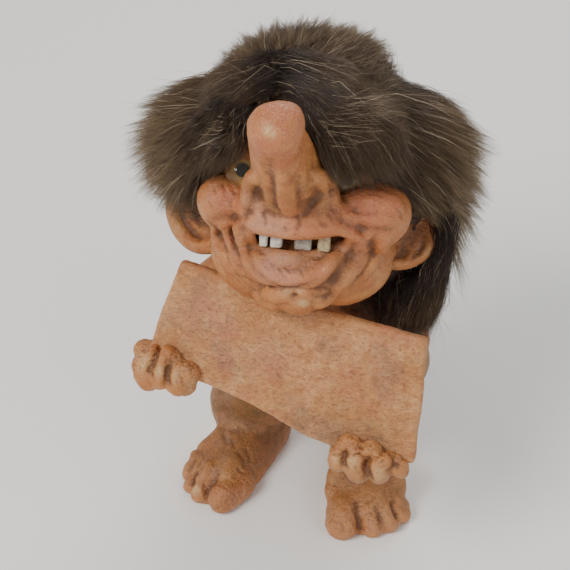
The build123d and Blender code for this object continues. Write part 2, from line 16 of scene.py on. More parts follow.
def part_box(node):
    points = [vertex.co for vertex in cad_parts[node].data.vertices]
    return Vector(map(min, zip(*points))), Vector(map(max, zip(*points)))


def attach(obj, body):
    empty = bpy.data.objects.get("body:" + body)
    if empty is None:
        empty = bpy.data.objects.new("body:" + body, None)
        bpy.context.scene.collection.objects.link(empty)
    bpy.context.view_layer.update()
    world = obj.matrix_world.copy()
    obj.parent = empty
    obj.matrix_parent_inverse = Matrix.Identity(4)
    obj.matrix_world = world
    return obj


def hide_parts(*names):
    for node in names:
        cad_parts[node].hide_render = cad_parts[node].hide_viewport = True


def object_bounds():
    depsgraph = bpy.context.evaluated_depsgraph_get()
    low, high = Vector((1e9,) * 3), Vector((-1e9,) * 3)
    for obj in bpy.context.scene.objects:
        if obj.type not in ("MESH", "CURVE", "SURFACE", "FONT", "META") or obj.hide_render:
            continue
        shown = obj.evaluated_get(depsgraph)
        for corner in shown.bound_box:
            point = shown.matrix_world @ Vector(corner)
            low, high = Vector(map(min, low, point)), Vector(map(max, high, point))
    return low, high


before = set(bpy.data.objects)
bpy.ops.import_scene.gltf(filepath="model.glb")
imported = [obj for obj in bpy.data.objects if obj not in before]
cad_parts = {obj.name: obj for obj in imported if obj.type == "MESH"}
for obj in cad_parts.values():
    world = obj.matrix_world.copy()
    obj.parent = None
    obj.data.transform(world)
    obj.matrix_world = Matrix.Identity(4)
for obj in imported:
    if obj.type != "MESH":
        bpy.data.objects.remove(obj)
CAD_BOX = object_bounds()

MM = 0.001
PHOTO_WIDTH = 570
FOCAL_PIXELS = 1311
SENSOR = 36.0
AZIMUTH = math.radians(14)
ELEVATION = math.radians(38)
CAMERA_DISTANCE = 0.460
AIM_FROM_SIGN = Vector((-11.25, 45.8, -7.15)) * MM
SKIN_NODES = {
    "head_skin": ["head_casting", "ear_left", "ear_right"],
    "body_skin": [
        "torso_casting", "leg_left", "leg_right", "arm_left", "arm_right",
        "hand_left", "hand_right", "foot_left", "foot_right", "tail",
    ],
    "sign_slab": ["sign_board"],
}
# The grain of each remeshed shape in millimetres, its strokes of smoothing and its most triangles
VOXEL = {
    "head_skin": 0.46,
    "body_skin": 0.52,
    "sign_slab": 0.5,
    "tooth": 0.22,
    "wig_under_fur": 1.1,
    "tail_tuft_core": 0.6,
}
SOFTENING = {"head_skin": 12, "body_skin": 7, "sign_slab": 14, "tooth": 5}
TRIANGLES = {"head_skin": 185000, "body_skin": 190000, "sign_slab": 70000}
GLUE_GROWTH = 0.16  # millimetres that each form swells, so that touching forms join
SCALP_RADIUS = 33.4

LIGHTS = {  # place, power, width and colour
    "soft_window": ((-0.55, -0.75, 0.95), 13.5, 0.55, (1.0, 0.965, 0.92)),
    "soft_fill": ((0.95, -0.55, 0.55), 4.2, 0.9, (0.95, 0.97, 1.0)),
    "soft_back": ((0.1, 0.9, 0.9), 6.5, 0.7, (1.0, 0.98, 0.95)),
}
LIGHT_AIM = Vector((0, 0, 0.09))
ROOM_COLOUR = (0.90, 0.92, 0.95, 1)
ROOM_STRENGTH = 0.52
FLOOR_WIDTH = 6
FLOOR_DROP = 0.0003


# Camera, floor and light


def middle(node):
    low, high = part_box(node)
    return (low + high) / 2


def new_object(name, data):
    made = bpy.data.objects.new(name, data)
    bpy.context.scene.collection.objects.link(made)
    return made


def stand_camera():
    """The camera at the photograph's angle. Returns its place and its right, up and back ways."""
    back = Vector(
        (
            math.sin(AZIMUTH) * math.cos(ELEVATION),
            -math.cos(AZIMUTH) * math.cos(ELEVATION),
            math.sin(ELEVATION),
        )
    )
    lens = bpy.data.cameras.new("photo_camera")
    lens.sensor_width = SENSOR
    lens.lens = SENSOR * FOCAL_PIXELS / PHOTO_WIDTH
    lens.clip_start = 0.01
    lens.clip_end = 20
    camera = new_object("photo_camera", lens)
    camera.location = middle("sign_board") + AIM_FROM_SIGN + back * CAMERA_DISTANCE
    camera.rotation_euler = back.to_track_quat("Z", "Y").to_euler()
    bpy.context.scene.camera = camera
    right = Vector((math.cos(AZIMUTH), math.sin(AZIMUTH), 0))
    return camera.location.copy(), right, back.cross(right), back


EYE_POINT, RIGHT, UP, BACK = stand_camera()


def sight(x, y):
    """The direction from the camera through a point of the photograph."""
    half = PHOTO_WIDTH / 2
    return (RIGHT * (x - half) + UP * (half - y) - BACK * FOCAL_PIXELS).normalized()


def area_light(name, place, power, width, tone):
    data = bpy.data.lights.new(name, "AREA")
    data.energy = power
    data.size = width
    data.color = tone
    lamp = new_object(name, data)
    lamp.location = place
    lamp.rotation_euler = (Vector(place) - LIGHT_AIM).to_track_quat("Z", "Y").to_euler()


def light_studio():
    for name, settings in LIGHTS.items():
        area_light(name, *settings)
    world = bpy.data.worlds.new("pale_room")
    world.use_nodes = True
    bpy.context.scene.world = world
    ground = world.node_tree.nodes["Background"]
    ground.inputs["Color"].default_value = ROOM_COLOUR
    ground.inputs["Strength"].default_value = ROOM_STRENGTH


# Node wiring


def fill(tree, made, inputs):
    """Gives a node's inputs, by name or place, their numbers, colours or other nodes' sockets."""
    for key, value in inputs.items():
        if isinstance(value, bpy.types.NodeSocket):
            tree.links.new(value, made.inputs[key])
        else:
            made.inputs[key].default_value = value


def node(tree, kind, inputs=None, **settings):
    made = tree.nodes.new(kind)
    for key, value in settings.items():
        setattr(made, key, value)
    fill(tree, made, inputs or {})
    return made


def object_place(tree):
    return node(tree, "ShaderNodeTexCoord").outputs["Object"]


def maths(tree, operation, a, b, c=0.0, clamp=False):
    inputs = {0: a, 1: b, 2: c}
    return node(tree, "ShaderNodeMath", inputs, operation=operation, use_clamp=clamp).outputs[0]


def times(tree, a, b, clamp=False):
    return maths(tree, "MULTIPLY", a, b, clamp=clamp)


def times_plus(tree, value, factor, rest):
    return maths(tree, "MULTIPLY_ADD", value, factor, rest)


def blend(tree, amount, a, b, mode="MIX"):
    inputs = {0: amount, 6: a, 7: b}
    return node(tree, "ShaderNodeMix", inputs, data_type="RGBA", blend_type=mode).outputs[2]


def between(tree, value, low, high):
    """A mask that climbs smoothly from 0 at low to 1 at high."""
    inputs = {"Value": value, "From Min": low, "From Max": high}
    made = node(tree, "ShaderNodeMapRange", inputs, interpolation_type="SMOOTHSTEP")
    return made.outputs["Result"]


def colour(r, g, b, depth=0.8):
    """A paint named by how it looks under the lamps, from 0 to 255, and mixed that much deeper."""
    return (*[depth * ((c / 255 + 0.055) / 1.055) ** 2.4 for c in (r, g, b)], 1)


def attribute(tree, name):
    return node(tree, "ShaderNodeAttribute", attribute_name=name).outputs["Fac"]


def noise(tree, place, scale, detail=3.0, roughness=0.55, distortion=0.0):
    names = ("Vector", "Scale", "Detail", "Roughness", "Distortion")
    inputs = dict(zip(names, (place, scale, detail, roughness, distortion)))
    return node(tree, "ShaderNodeTexNoise", inputs).outputs[0]


def stretched(tree, place, scale):
    """The place seen through a mapping, which draws a pattern out along an axis."""
    return node(tree, "ShaderNodeMapping", {"Vector": place, "Scale": scale}).outputs[0]


def new_group(name, takes, gives):
    """A shader node group with named inputs and outputs. An input without a number is a place."""
    tree = bpy.data.node_groups.new(name, "ShaderNodeTree")
    for label, default in takes:
        kind = "NodeSocketVector" if default is None else "NodeSocketFloat"
        socket = tree.interface.new_socket(label, in_out="INPUT", socket_type=kind)
        if default is not None:
            socket.default_value = default
    for label in gives:
        tree.interface.new_socket(label, in_out="OUTPUT", socket_type="NodeSocketFloat")
    given, out = tree.nodes.new("NodeGroupInput"), tree.nodes.new("NodeGroupOutput")
    return tree, given.outputs, out.inputs


def use_group(tree, group, inputs):
    return node(tree, "ShaderNodeGroup", inputs, node_tree=group).outputs


def make_mottling():
    """Two sizes of brushed blotches and a fine speckle, each from 0 to 1."""
    takes, gives = [("Place", None), ("Scale", 60.0)], ["Broad", "Small", "Speckle"]
    tree, given, out = new_group("brush_mottling", takes, gives)
    for label, finer, detail, roughness, distortion, low, high in (
        ("Broad", 1.0, 3.0, 0.6, 0.6, 0.40, 0.62),
        ("Small", 4.5, 4.0, 0.65, 0.4, 0.42, 0.64),
        ("Speckle", 21.0, 2.0, 0.7, 0.0, 0.45, 0.68),
    ):
        scale = times(tree, given["Scale"], finer)
        field = noise(tree, given["Place"], scale, detail, roughness, distortion)
        tree.links.new(between(tree, field, low, high), out[label])
    return tree


def make_wash():
    """Dark paint left in the hollows and along inked strokes, broken up with noise."""
    takes = [("Place", None), ("Hollow", 0.0), ("Ink", 0.0)]
    tree, given, out = new_group("settled_wash", takes, ["Wash"])
    broken = times_plus(tree, noise(tree, given["Place"], 900.0, 4.0, 0.7), 0.55, 0.72)
    both = maths(tree, "ADD", given["Hollow"], given["Ink"])
    tree.links.new(times(tree, both, broken, clamp=True), out["Wash"])
    return tree


def make_latex_grain():
    """The height of fine pores, lumps, brush lines and short creases in cast latex."""
    takes = [("Place", None), ("Crease", 1.0), ("Scratch", 0.3)]
    tree, given, out = new_group("latex_grain", takes, ["Height"])
    place = given["Place"]
    pores = noise(tree, place, 2600.0, 3.0, 0.6)
    cells = {"Vector": place, "Scale": 620.0, "Randomness": 1.0}
    edges = node(tree, "ShaderNodeTexVoronoi", cells, feature="DISTANCE_TO_EDGE")
    creases = times(tree, between(tree, edges.outputs["Distance"], 0.0, 0.16), given["Crease"])
    swells = noise(tree, place, 420.0, 3.0, 0.6, 0.5)
    drawn = stretched(tree, place, (0.6, 1.0, 1.0))
    brushed = between(tree, noise(tree, drawn, 520.0, 5.0, 0.75, 2.0), 0.3, 0.65)
    height = times_plus(tree, creases, 0.45, times(tree, pores, 0.35))
    height = times_plus(tree, swells, 0.8, height)
    height = times_plus(tree, brushed, given["Scratch"], height)
    tree.links.new(height, out["Height"])
    return tree


MOTTLING = make_mottling()
WASH = make_wash()
LATEX_GRAIN = make_latex_grain()
SKIN_MOTTLING = 75.0
TOOTH_MOTTLING = 260.0
DABS = {  # colours dabbed on a coat where the attribute of that name says, and how strongly
    "rose": (colour(200, 112, 82), 0.85),
    "blush": (colour(226, 166, 138), 0.85),
    # moss: olive paint on the legs and round the eyes, and painted shade by the nose, in the folds
    # and on the sign
    "moss_and_painted_shade": (colour(116, 90, 50), 0.9),
    "slate": (colour(150, 120, 102), 0.7),
    # cream: pale paint on horny skin and on the sign, and painted highlights on the nose tip, chin,
    # ears and fingertips
    "cream_and_painted_highlight": (colour(238, 200, 142), 0.85),
    # umber: painted shade in hollows, between the fingers, under the hair and on the shoulder
    "painted_shade_umber": (colour(112, 66, 36), 0.7),
}


def new_material(name):
    made = bpy.data.materials.new(name)
    made.use_nodes = True
    tree = made.node_tree
    return made, tree, tree.nodes["Principled BSDF"]


def bump(tree, shader, height, distance, strength):
    inputs = {"Height": height, "Distance": distance, "Strength": strength}
    fill(tree, shader, {"Normal": node(tree, "ShaderNodeBump", inputs).outputs["Normal"]})


def latex_paint(name, base, light, deep, wash, gloss, relief, crease=1.0, scratch=0.3):
    """Painted latex: a base coat, lighter and deeper blotches, dabs of paint, painted shade and
    painted highlights, and a wash in the hollows.
    """
    made, tree, shader = new_material(name)
    place = object_place(tree)
    blotch = use_group(tree, MOTTLING, {"Place": place, "Scale": SKIN_MOTTLING})
    coat = blend(tree, blotch["Broad"], base, light)
    coat = blend(tree, times(tree, blotch["Small"], 0.45), coat, deep)
    patchy = times_plus(tree, blotch["Small"], 0.35, 0.75)
    for label, (tone, most) in DABS.items():
        dab = times(tree, attribute(tree, label), most, clamp=True)
        coat = blend(tree, times(tree, dab, patchy, clamp=True), coat, tone)
    stains = {"Place": place, "Hollow": attribute(tree, "hollow"), "Ink": attribute(tree, "ink")}
    coat = blend(tree, times(tree, use_group(tree, WASH, stains)["Wash"], 0.9), coat, wash)
    worn = times(tree, attribute(tree, "worn"), blotch["Speckle"])
    coat = blend(tree, times(tree, worn, 0.7, clamp=True), coat, light)
    coat = blend(tree, times(tree, blotch["Speckle"], 0.16), coat, wash)
    dull = times_plus(tree, blotch["Small"], 0.16, gloss)
    shine = times(tree, attribute(tree, "polish"), -0.28)
    finish = {
        "Base Color": coat,
        "Roughness": maths(tree, "ADD", dull, shine, clamp=True),
        "Subsurface Weight": 0.06,
        "Subsurface Radius": (0.004, 0.002, 0.001),
        "Subsurface Scale": 0.3,
    }
    fill(tree, shader, finish)
    grain = use_group(tree, LATEX_GRAIN, {"Place": place, "Crease": crease, "Scratch": scratch})
    bump(tree, shader, grain["Height"], relief * MM, 0.75)
    return made


# Modelling helpers

MERGE_REACH = 0.5e-6
ROLL_MARK_STEP = 2.0
ROLL_EASINGS = 6  # strokes that even out a roll's line
ROLL_TIP = 0.3  # a roll's radius at its ends, as a share
STROKE_STEP = 2.5
LONGEST_STEP = 5  # millimetres: a stroke skips a longer gap, such as one from the nose to a cheek
WIDENING = 1.15  # how much wider a stroke is pressed than its table says
CREASE_SHARE = 0.62  # how much of a stroke's depth is pressed
INK_SHARE = 0.52  # how much dark paint a stroke holds
INK_REACH = {"head_skin": 0.85, "body_skin": 0.9}  # its width, as a share of the stroke's
# Strokes of smoothing that show up the fine hollows, the folds and the corners, and their depth
PORES = (6, 0.10)
FOLDS = (60, 0.9)
CORNERS = (110, 0.5)


def only(*objects):
    bpy.ops.object.select_all(action="DESELECT")
    for piece in objects:
        piece.select_set(True)
    bpy.context.view_layer.objects.active = objects[0]


def apply_modifier(piece, kind, **settings):
    made = piece.modifiers.new(kind.lower(), kind)
    for key, value in settings.items():
        setattr(made, key, value)
    only(piece)
    bpy.ops.object.modifier_apply(modifier=made.name)


def on_all(piece, operator, **settings):
    """Runs an edit-mode operator on everything in the piece."""
    only(piece)
    bpy.ops.object.mode_set(mode="EDIT")
    bpy.ops.mesh.select_all(action="SELECT")
    operator(**settings)
    bpy.ops.object.mode_set(mode="OBJECT")


def copy_of(name):
    """A copy of a CAD node with its loose triangles merged."""
    piece = new_object(name + "_copy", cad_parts[name].data.copy())
    piece.data.materials.clear()
    on_all(piece, bpy.ops.mesh.remove_doubles, threshold=MERGE_REACH)
    return piece


def outer_shell(piece):
    """Keeps the loose part that reaches furthest and deletes the rest, such as a hollow's walls."""
    on_all(piece, bpy.ops.mesh.separate, type="LOOSE")
    parts = sorted(bpy.context.selected_objects, key=lambda o: o.dimensions.length, reverse=True)
    for extra in parts[1:]:
        bpy.data.meshes.remove(extra.data)
    return parts[0]


def sign_front():
    """A point on the sign's front and the direction it faces."""
    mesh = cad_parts["sign_board"].data
    facing = [p for p in mesh.polygons if p.normal.dot(BACK) > 0.7]
    total = sum(p.area for p in facing)
    spot = sum((p.center * p.area for p in facing), Vector()) / total
    return spot, sum((p.normal * p.area for p in facing), Vector()).normalized()


def clay_roll(under, radius, proud, marks, step=None):
    """A sausage of clay along marks. It stands proud of the skin under it, or else of the sign.

    Where it runs past the skin's edge, it keeps the distance that it had at the edge. Where step
    is given, it also keeps its distance past the last place where the skin under it steps that
    far nearer, such as behind a hand.
    """
    spot, facing = sign_front()
    ways = [sight(x, y) for x, y in smooth_line(marks, ROLL_MARK_STEP)]
    if under is None:
        fars = [(spot - EYE_POINT).dot(facing) / way.dot(facing) for way in ways]
        lift = facing * (proud - radius) * MM
        places = [EYE_POINT + way * far + lift for way, far in zip(ways, fars)]
    else:
        hits = [under.ray_cast(EYE_POINT, way) for way in ways]
        fars = [(place - EYE_POINT).dot(-BACK) if hit else np.nan for hit, place, _, _ in hits]
        fars = np.array(fars)
        if step:
            steps = np.nonzero(~(np.abs(np.diff(fars)) < step * MM))[0]
            fars[: steps[-1] + 1 if len(steps) else 0] = np.nan
        known = np.nonzero(~np.isnan(fars))[0]
        fars = np.interp(np.arange(len(fars)), known, fars[known])
        lift = BACK * (proud - radius) * MM
        places = [EYE_POINT + way * (far / way.dot(-BACK)) + lift for way, far in zip(ways, fars)]
    line = np.array([tuple(p) for p in places])
    for _ in range(ROLL_EASINGS):
        line[1:-1] = (line[:-2] + 2 * line[1:-1] + line[2:]) / 4
    return sausage(line, radius)


def sausage(line, radius):
    curve = bpy.data.curves.new("clay_roll", "CURVE")
    curve.dimensions = "3D"
    curve.bevel_depth = MM
    curve.bevel_resolution = 5
    curve.use_fill_caps = True
    spline = curve.splines.new("POLY")
    spline.points.add(len(line) - 1)
    for i, place in enumerate(line):
        from_middle = abs(2 * i / (len(line) - 1) - 1)
        spline.points[i].co = (*place, 1)
        spline.points[i].radius = radius * max(ROLL_TIP, math.sqrt(1 - from_middle**4))
    roll = new_object("clay_roll", curve)
    only(roll)
    bpy.ops.object.convert(target="MESH")
    return bpy.context.view_layer.objects.active


def cast_skin(name):
    """One closed skin over several CAD nodes and rolls of clay, with no glue lines between them."""
    copies = [copy_of(n) for n in SKIN_NODES[name]]
    only(*copies)
    if len(copies) > 1:
        bpy.ops.object.join()
    skin = bpy.context.view_layer.objects.active
    bpy.context.view_layer.update()
    rolls = [clay_roll(skin, *roll) for roll in ROLLS_ON_SKIN.get(name, [])]
    rolls += [clay_roll(None, *roll) for roll in ROLLS_ON_SIGN.get(name, [])]
    if rolls:
        only(skin, *rolls)
        bpy.ops.object.join()
    if len(copies) > 1:
        growth = {"strength": GLUE_GROWTH * MM, "mid_level": 0.0, "direction": "NORMAL"}
        apply_modifier(skin, "DISPLACE", **growth)
    apply_modifier(skin, "REMESH", mode="VOXEL", voxel_size=VOXEL[name] * MM)
    skin = outer_shell(skin)
    skin.name = skin.data.name = name
    apply_modifier(skin, "SMOOTH", factor=0.5, iterations=SOFTENING[name])
    return skin


def smooth_line(marks, step):
    """Even steps along a smooth curve through the marks."""
    p = np.array(marks, float)
    if len(p) < 3:
        count = max(2, int(np.linalg.norm(p[1] - p[0]) / step) + 1)
        return p[0] + (p[1] - p[0]) * np.linspace(0, 1, count)[:, None]
    padded = np.vstack([2 * p[0] - p[1], p, 2 * p[-1] - p[-2]])
    runs = []
    for a, b, c, d in zip(padded, padded[1:], padded[2:], padded[3:]):
        count = max(1, int(np.linalg.norm(c - b) / step))
        t = np.linspace(0, 1, count, endpoint=False)[:, None]
        square, cube = 2 * a - 5 * b + 4 * c - d, 3 * b - a - 3 * c + d
        runs.append(0.5 * (2 * b + (c - a) * t + square * t**2 + cube * t**3))
    return np.vstack([*runs, p[-1:]])


def hashed(cells, seed):
    """A steady number from 0 to 1 for every whole-number cell, from a common integer hash."""
    x, y, z = np.moveaxis(cells.astype(np.int64).astype(np.uint32), -1, 0)
    h = x * np.uint32(374761393) + y * np.uint32(668265263) + z * np.uint32(2147483647)
    h = h + np.uint32(seed * 7919 % 4294967295)
    h = (h ^ (h >> np.uint32(13))) * np.uint32(1274126177)
    h = h ^ (h >> np.uint32(16))
    return (h & np.uint32(0xFFFFFF)).astype(float) / 0xFFFFFF


def lumps(points, size, seed, octaves=2):
    """Smooth random lumps about as wide as size, from -1 to 1."""
    total, weight, most = 0.0, 1.0, 0.0
    scaled = points / size
    for octave in range(octaves):
        base = np.floor(scaled)
        f = scaled - base
        f = f * f * (3 - 2 * f)
        value = 0.0
        for corner in range(8):
            offset = np.array([corner & 1, corner >> 1 & 1, corner >> 2 & 1])
            share = np.prod(np.where(offset, f, 1 - f), axis=1)
            value = value + share * hashed(base + offset, seed + octave * 17)
        total = total + weight * (2 * value - 1)
        most += weight
        scaled = scaled * 2.03 + 11.7
        weight *= 0.5
    return total / most


def cracks(points, size, seed, width):
    """-1 along thin cracks, where a field of lumps passes through 0, and 0 away from them."""
    return -np.clip(1 - np.abs(lumps(points, size, seed)) / width, 0, 1)


def fade(value, low, high):
    """0 at low, climbing smoothly to 1 at high."""
    t = np.clip((value - low) / (high - low), 0, 1)
    return t * t * (3 - 2 * t)


class Clay:
    """A skin being modelled. Its points are kept in millimetres."""

    def __init__(self, piece):
        self.piece = piece
        self.read()

    def read(self):
        mesh = self.piece.data
        count = len(mesh.vertices)
        flat = np.empty(count * 3, np.float32)
        mesh.vertices.foreach_get("co", flat)
        self.points = flat.reshape(-1, 3).astype(float) / MM
        self.turn()
        pairs = np.empty(len(mesh.edges) * 2, np.int32)
        mesh.edges.foreach_get("vertices", pairs)
        self.pairs = pairs.reshape(-1, 2)
        both = np.concatenate([self.pairs[:, 0], self.pairs[:, 1]])
        self.degree = np.bincount(both, minlength=count)[:, None]

    def turn(self):
        flat = np.empty(len(self.points) * 3, np.float32)
        self.piece.data.vertex_normals.foreach_get("vector", flat)
        self.normals = flat.reshape(-1, 3).astype(float)

    def store(self):
        mesh = self.piece.data
        mesh.vertices.foreach_set("co", (self.points * MM).astype(np.float32).ravel())
        mesh.update()
        self.turn()

    def push(self, amount):
        self.points = self.points + self.normals * amount[:, None]
        self.store()

    def relaxed(self, field, strokes):
        """The field after each point has taken its neighbours' mean so many times."""
        a, b = self.pairs.T
        both, other = np.concatenate([a, b]), np.concatenate([b, a])
        field = field.reshape(len(field), -1)
        for _ in range(strokes):
            sums = [np.bincount(both, column[other], len(field)) for column in field.T]
            field = 0.5 * field + 0.5 * np.stack(sums, 1) / self.degree
        return field

    def sunk(self, strokes):
        """The smoothed skin, and how deep each point lies under it in millimetres."""
        smooth = self.relaxed(self.points, strokes)
        return smooth, ((smooth - self.points) * self.normals).sum(1)

    def on_surface(self, marks):
        """Where the camera's sight through each mark meets the skin, for those that meet it."""
        hits = [self.piece.ray_cast(EYE_POINT, sight(x, y)) for x, y in marks]
        return np.array([tuple(place / MM) for hit, place, _, _ in hits if hit])

    def from_line(self, line, reach):
        """The points near a line in space: which, how far off, and how far along from 0 to 1."""
        low, high = line.min(0) - reach, line.max(0) + reach
        near = np.nonzero(((self.points > low) & (self.points < high)).all(1))[0]
        if len(line) < 2 or not len(near):
            return near[:0], np.zeros(0), np.zeros(0)
        p = self.points[near]
        best, along = np.full(len(near), 1e9), np.zeros(len(near))
        lengths = np.linalg.norm(np.diff(line, axis=0), axis=1)
        marks = np.concatenate([[0], np.cumsum(lengths)]) / max(lengths.sum(), 1e-9)
        for i, (a, b) in enumerate(zip(line, line[1:])):
            run = b - a
            if lengths[i] > LONGEST_STEP:
                continue
            t = np.clip(((p - a) @ run) / max(run @ run, 1e-9), 0, 1)
            off = np.linalg.norm(p - a - t[:, None] * run, axis=1)
            closer = off < best
            best[closer] = off[closer]
            along[closer] = (marks[i] + t * (marks[i + 1] - marks[i]))[closer]
        inside = best < reach
        return near[inside], best[inside], along[inside]

    def lay(self, line, width, depth, shoulder=0.4, blunt=0.25):
        """Presses a crease with a soft roll each side. A negative depth raises a ridge."""
        near, off, along = self.from_line(line, width * 4)
        ends = np.clip(np.minimum(along, 1 - along) / blunt, 0, 1) ** 0.6
        rolls = shoulder * np.exp(-(((off - 1.9 * width) / width) ** 2))
        self.lift[near] += (rolls - np.exp(-((off / width) ** 2))) * depth * ends

    def carve(self, strokes):
        """Lays every stroke: width, depth and marks."""
        lines = [self.on_surface(smooth_line(marks, STROKE_STEP)) for _, _, marks in strokes]
        self.lift = np.zeros(len(self.points))
        for (width, depth, _), line in zip(strokes, lines):
            if len(line) > 1:
                self.lay(line, width * WIDENING, depth * CREASE_SHARE)
        self.push(self.lift)
        return lines

    def around(self, line, width):
        """1 on the line, fading to 0 about twice its width away."""
        field = np.zeros(len(self.points))
        near, off, along = self.from_line(line, width * 2.6)
        ends = np.clip(np.minimum(along, 1 - along) / 0.15, 0.25, 1)
        field[near] = np.exp(-((off / width) ** 2)) * ends
        return field

    def dab(self, centre, radius):
        off = np.linalg.norm(self.points - centre, axis=1)
        return np.exp(-((off / radius) ** 2))

    def grab(self, pulls):
        """Pulls the skin: mark, radius in millimetres, and how far right and down in the photo."""
        for x, y, radius, right, down in pulls:
            hold = self.on_surface([(x, y)])
            if len(hold):
                far = (Vector(hold[0] * MM) - EYE_POINT).dot(-BACK) / FOCAL_PIXELS / MM
                move = np.array(RIGHT * right - UP * down) * far
                self.points = self.points + self.dab(hold[0], radius)[:, None] * move
                self.store()

    def melt(self, places):
        """Strokes the skin smooth: mark, radius in millimetres and how many strokes."""
        for x, y, radius, strokes in places:
            hold = self.on_surface([(x, y)])
            if len(hold):
                share = self.dab(hold[0], radius)[:, None]
                near = share[:, 0] > 0.01
                a, b = self.pairs[near[self.pairs].all(1)].T
                both, other = np.concatenate([a, b]), np.concatenate([b, a])
                count = np.maximum(np.bincount(both, minlength=len(near)), 1)[:, None]
                soft = self.points
                for _ in range(strokes):
                    sums = [np.bincount(both, column[other], len(near)) for column in soft.T]
                    soft = np.where(near[:, None], np.stack(sums, 1) / count, soft)
                self.points = self.points + (soft - self.points) * np.minimum(1.4 * share, 1)
                self.store()

    def fillet(self, share, strokes, scale):
        """Fills the sharp inner corners, where one form meets the next, as a thumb would."""
        smooth, depth = self.sunk(strokes)
        filling = self.relaxed(fade(depth, 0.04, scale) * share, 12)
        self.points = self.points + (smooth - self.points) * np.minimum(1.5 * filling, 1)
        self.store()

    def hollows(self, strokes, scale):
        """How deep each point lies under the smoothed skin, from -1 to 1 at the scale."""
        return np.clip(self.sunk(strokes)[1] / scale, -1, 1)

    def paint(self, name, field):
        mesh = self.piece.data
        layer = mesh.attributes.get(name) or mesh.attributes.new(name, "FLOAT", "POINT")
        layer.data.foreach_set("value", field.astype(np.float32))


def finish_skin(piece, material, nodes):
    piece.data.materials.append(material)
    piece.data.shade_smooth()
    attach(piece, "root")
    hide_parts(*nodes)


def thin_out(clay, most):
    clay.piece.data.update()
    count = sum(len(p.vertices) - 2 for p in clay.piece.data.polygons)
    if count > most:
        apply_modifier(clay.piece, "DECIMATE", ratio=most / count)
    clay.read()


def spots(clay, marks):
    """The strongest of many dabs: mark, radius in millimetres and strength."""
    field = np.zeros(len(clay.points))
    for x, y, radius, strength in marks:
        place = clay.on_surface([(x, y)])
        if len(place):
            field = np.maximum(field, strength * clay.dab(place[0], radius))
    return field


def ink_along(clay, strokes, lines, reach):
    """Dark paint in the pressed strokes, more of it in the deeper ones."""
    field = np.zeros(len(clay.points))
    for (width, depth, _), line in zip(strokes, lines):
        if len(line) > 1:
            ink = min(1.0, 0.15 + 0.75 * depth) * clay.around(line, width * reach)
            field = np.maximum(field, ink)
    return field * INK_SHARE


def paint_coats(clay, marks, fields, ink=0.0):
    """Gives a skin all that its paint reads: hollows, wear, ink, dabs of paint, painted shade and
    painted highlights, and polish.

    Each dab and the polish has the spots marked for it, over the field given for it.
    """
    near, far = clay.hollows(*PORES), clay.hollows(*FOLDS)
    clay.paint("hollow", 0.45 * np.clip(near, 0, 1) + 0.5 * np.clip(far, 0, 1))
    clay.paint("worn", np.clip(-near, 0, 1))
    clay.paint("ink", ink + np.zeros(len(clay.points)))
    for label in (*DABS, "polish"):
        found = spots(clay, marks.get(label, []))
        clay.paint(label, np.maximum(found, fields.get(label, 0.0)))


# Rolls of clay laid on the forms: radius and height in millimetres, marks, and clay_roll's step

ROLLS_ON_SKIN = {
    "head_skin": [
        (2.7, 2.7, ((250, 238), (257, 247), (268, 254), (282, 258), (300, 259), (318, 257),
                    (334, 251), (348, 240))),
        (2.4, 2.4, ((246, 230), (248, 241), (255, 252))),
        (2.6, 2.6, ((356, 232), (353, 243), (344, 254))),
        (3.6, 1.7, ((243, 236), (246, 250), (255, 263), (269, 273), (288, 278), (308, 278),
                    (326, 270), (340, 258), (350, 245))),
        (2.9, 1.3, ((240, 217), (250, 222), (264, 226), (285, 229), (305, 230), (325, 228),
                    (343, 224), (354, 220))),
        (3.6, 1.4, ((256, 212), (272, 217), (292, 219), (312, 217), (330, 213))),
        (4.6, 1.2, ((206, 199), (214, 193), (226, 190), (240, 196), (248, 206))),
        (4.8, 1.5, ((338, 204), (352, 198), (370, 196), (388, 199), (402, 209))),
        (3.2, 1.5, ((259, 172), (252, 184), (249, 197), (255, 208))),
        (3.4, 1.8, ((317, 172), (326, 184), (330, 197), (325, 208))),
        (2.9, 1.1, ((284, 168), (285, 182), (287, 198), (290, 212))),
        (2.3, 1.4, ((236, 218), (241, 234), (247, 252), (258, 270), (270, 284))),
        (2.1, 1.1, ((225, 222), (230, 240), (237, 258), (248, 275))),
        (2.2, 0.9, ((211, 222), (216, 240), (225, 258), (238, 274))),
        (2.8, 1.5, ((366, 236), (361, 252), (351, 268), (338, 284), (322, 298))),
        (2.6, 1.1, ((386, 234), (380, 248), (369, 264), (356, 278))),
        (4.2, 1.2, ((262, 288), (275, 293), (290, 292), (306, 292), (320, 288))),
        (4.0, 1.0, ((258, 284), (268, 296), (280, 302))),
        (4.0, 1.0, ((308, 302), (320, 296), (330, 284))),
    ],
    "body_skin": [
        (5.0, 2.0, ((222, 384), (222, 402), (227, 418), (236, 434))),
        (4.2, 1.2, ((226, 430), (211, 446), (198, 458))),
        (2.6, 1.2, ((197, 452), (190, 460), (187, 468))),
        (2.8, 1.3, ((204, 456), (196, 466), (192, 477))),
        (3.2, 1.4, ((212, 460), (204, 474), (199, 488))),
        (5.0, 1.3, ((236, 458), (228, 474), (222, 490))),
        (3.7, 1.2, ((339, 464), (337, 482), (335, 502)), 2.5),
        (3.5, 1.2, ((393, 464), (396, 482), (397, 500)), 2.5),
        (4.6, 1.0, ((345, 500), (343, 514), (342, 528))),
        (3.2, 1.0, ((366, 502), (368, 515), (369, 530))),
        (2.9, 1.0, ((383, 500), (386, 512), (388, 525))),
        (2.6, 1.0, ((395, 494), (399, 505), (400, 516))),
    ],
}
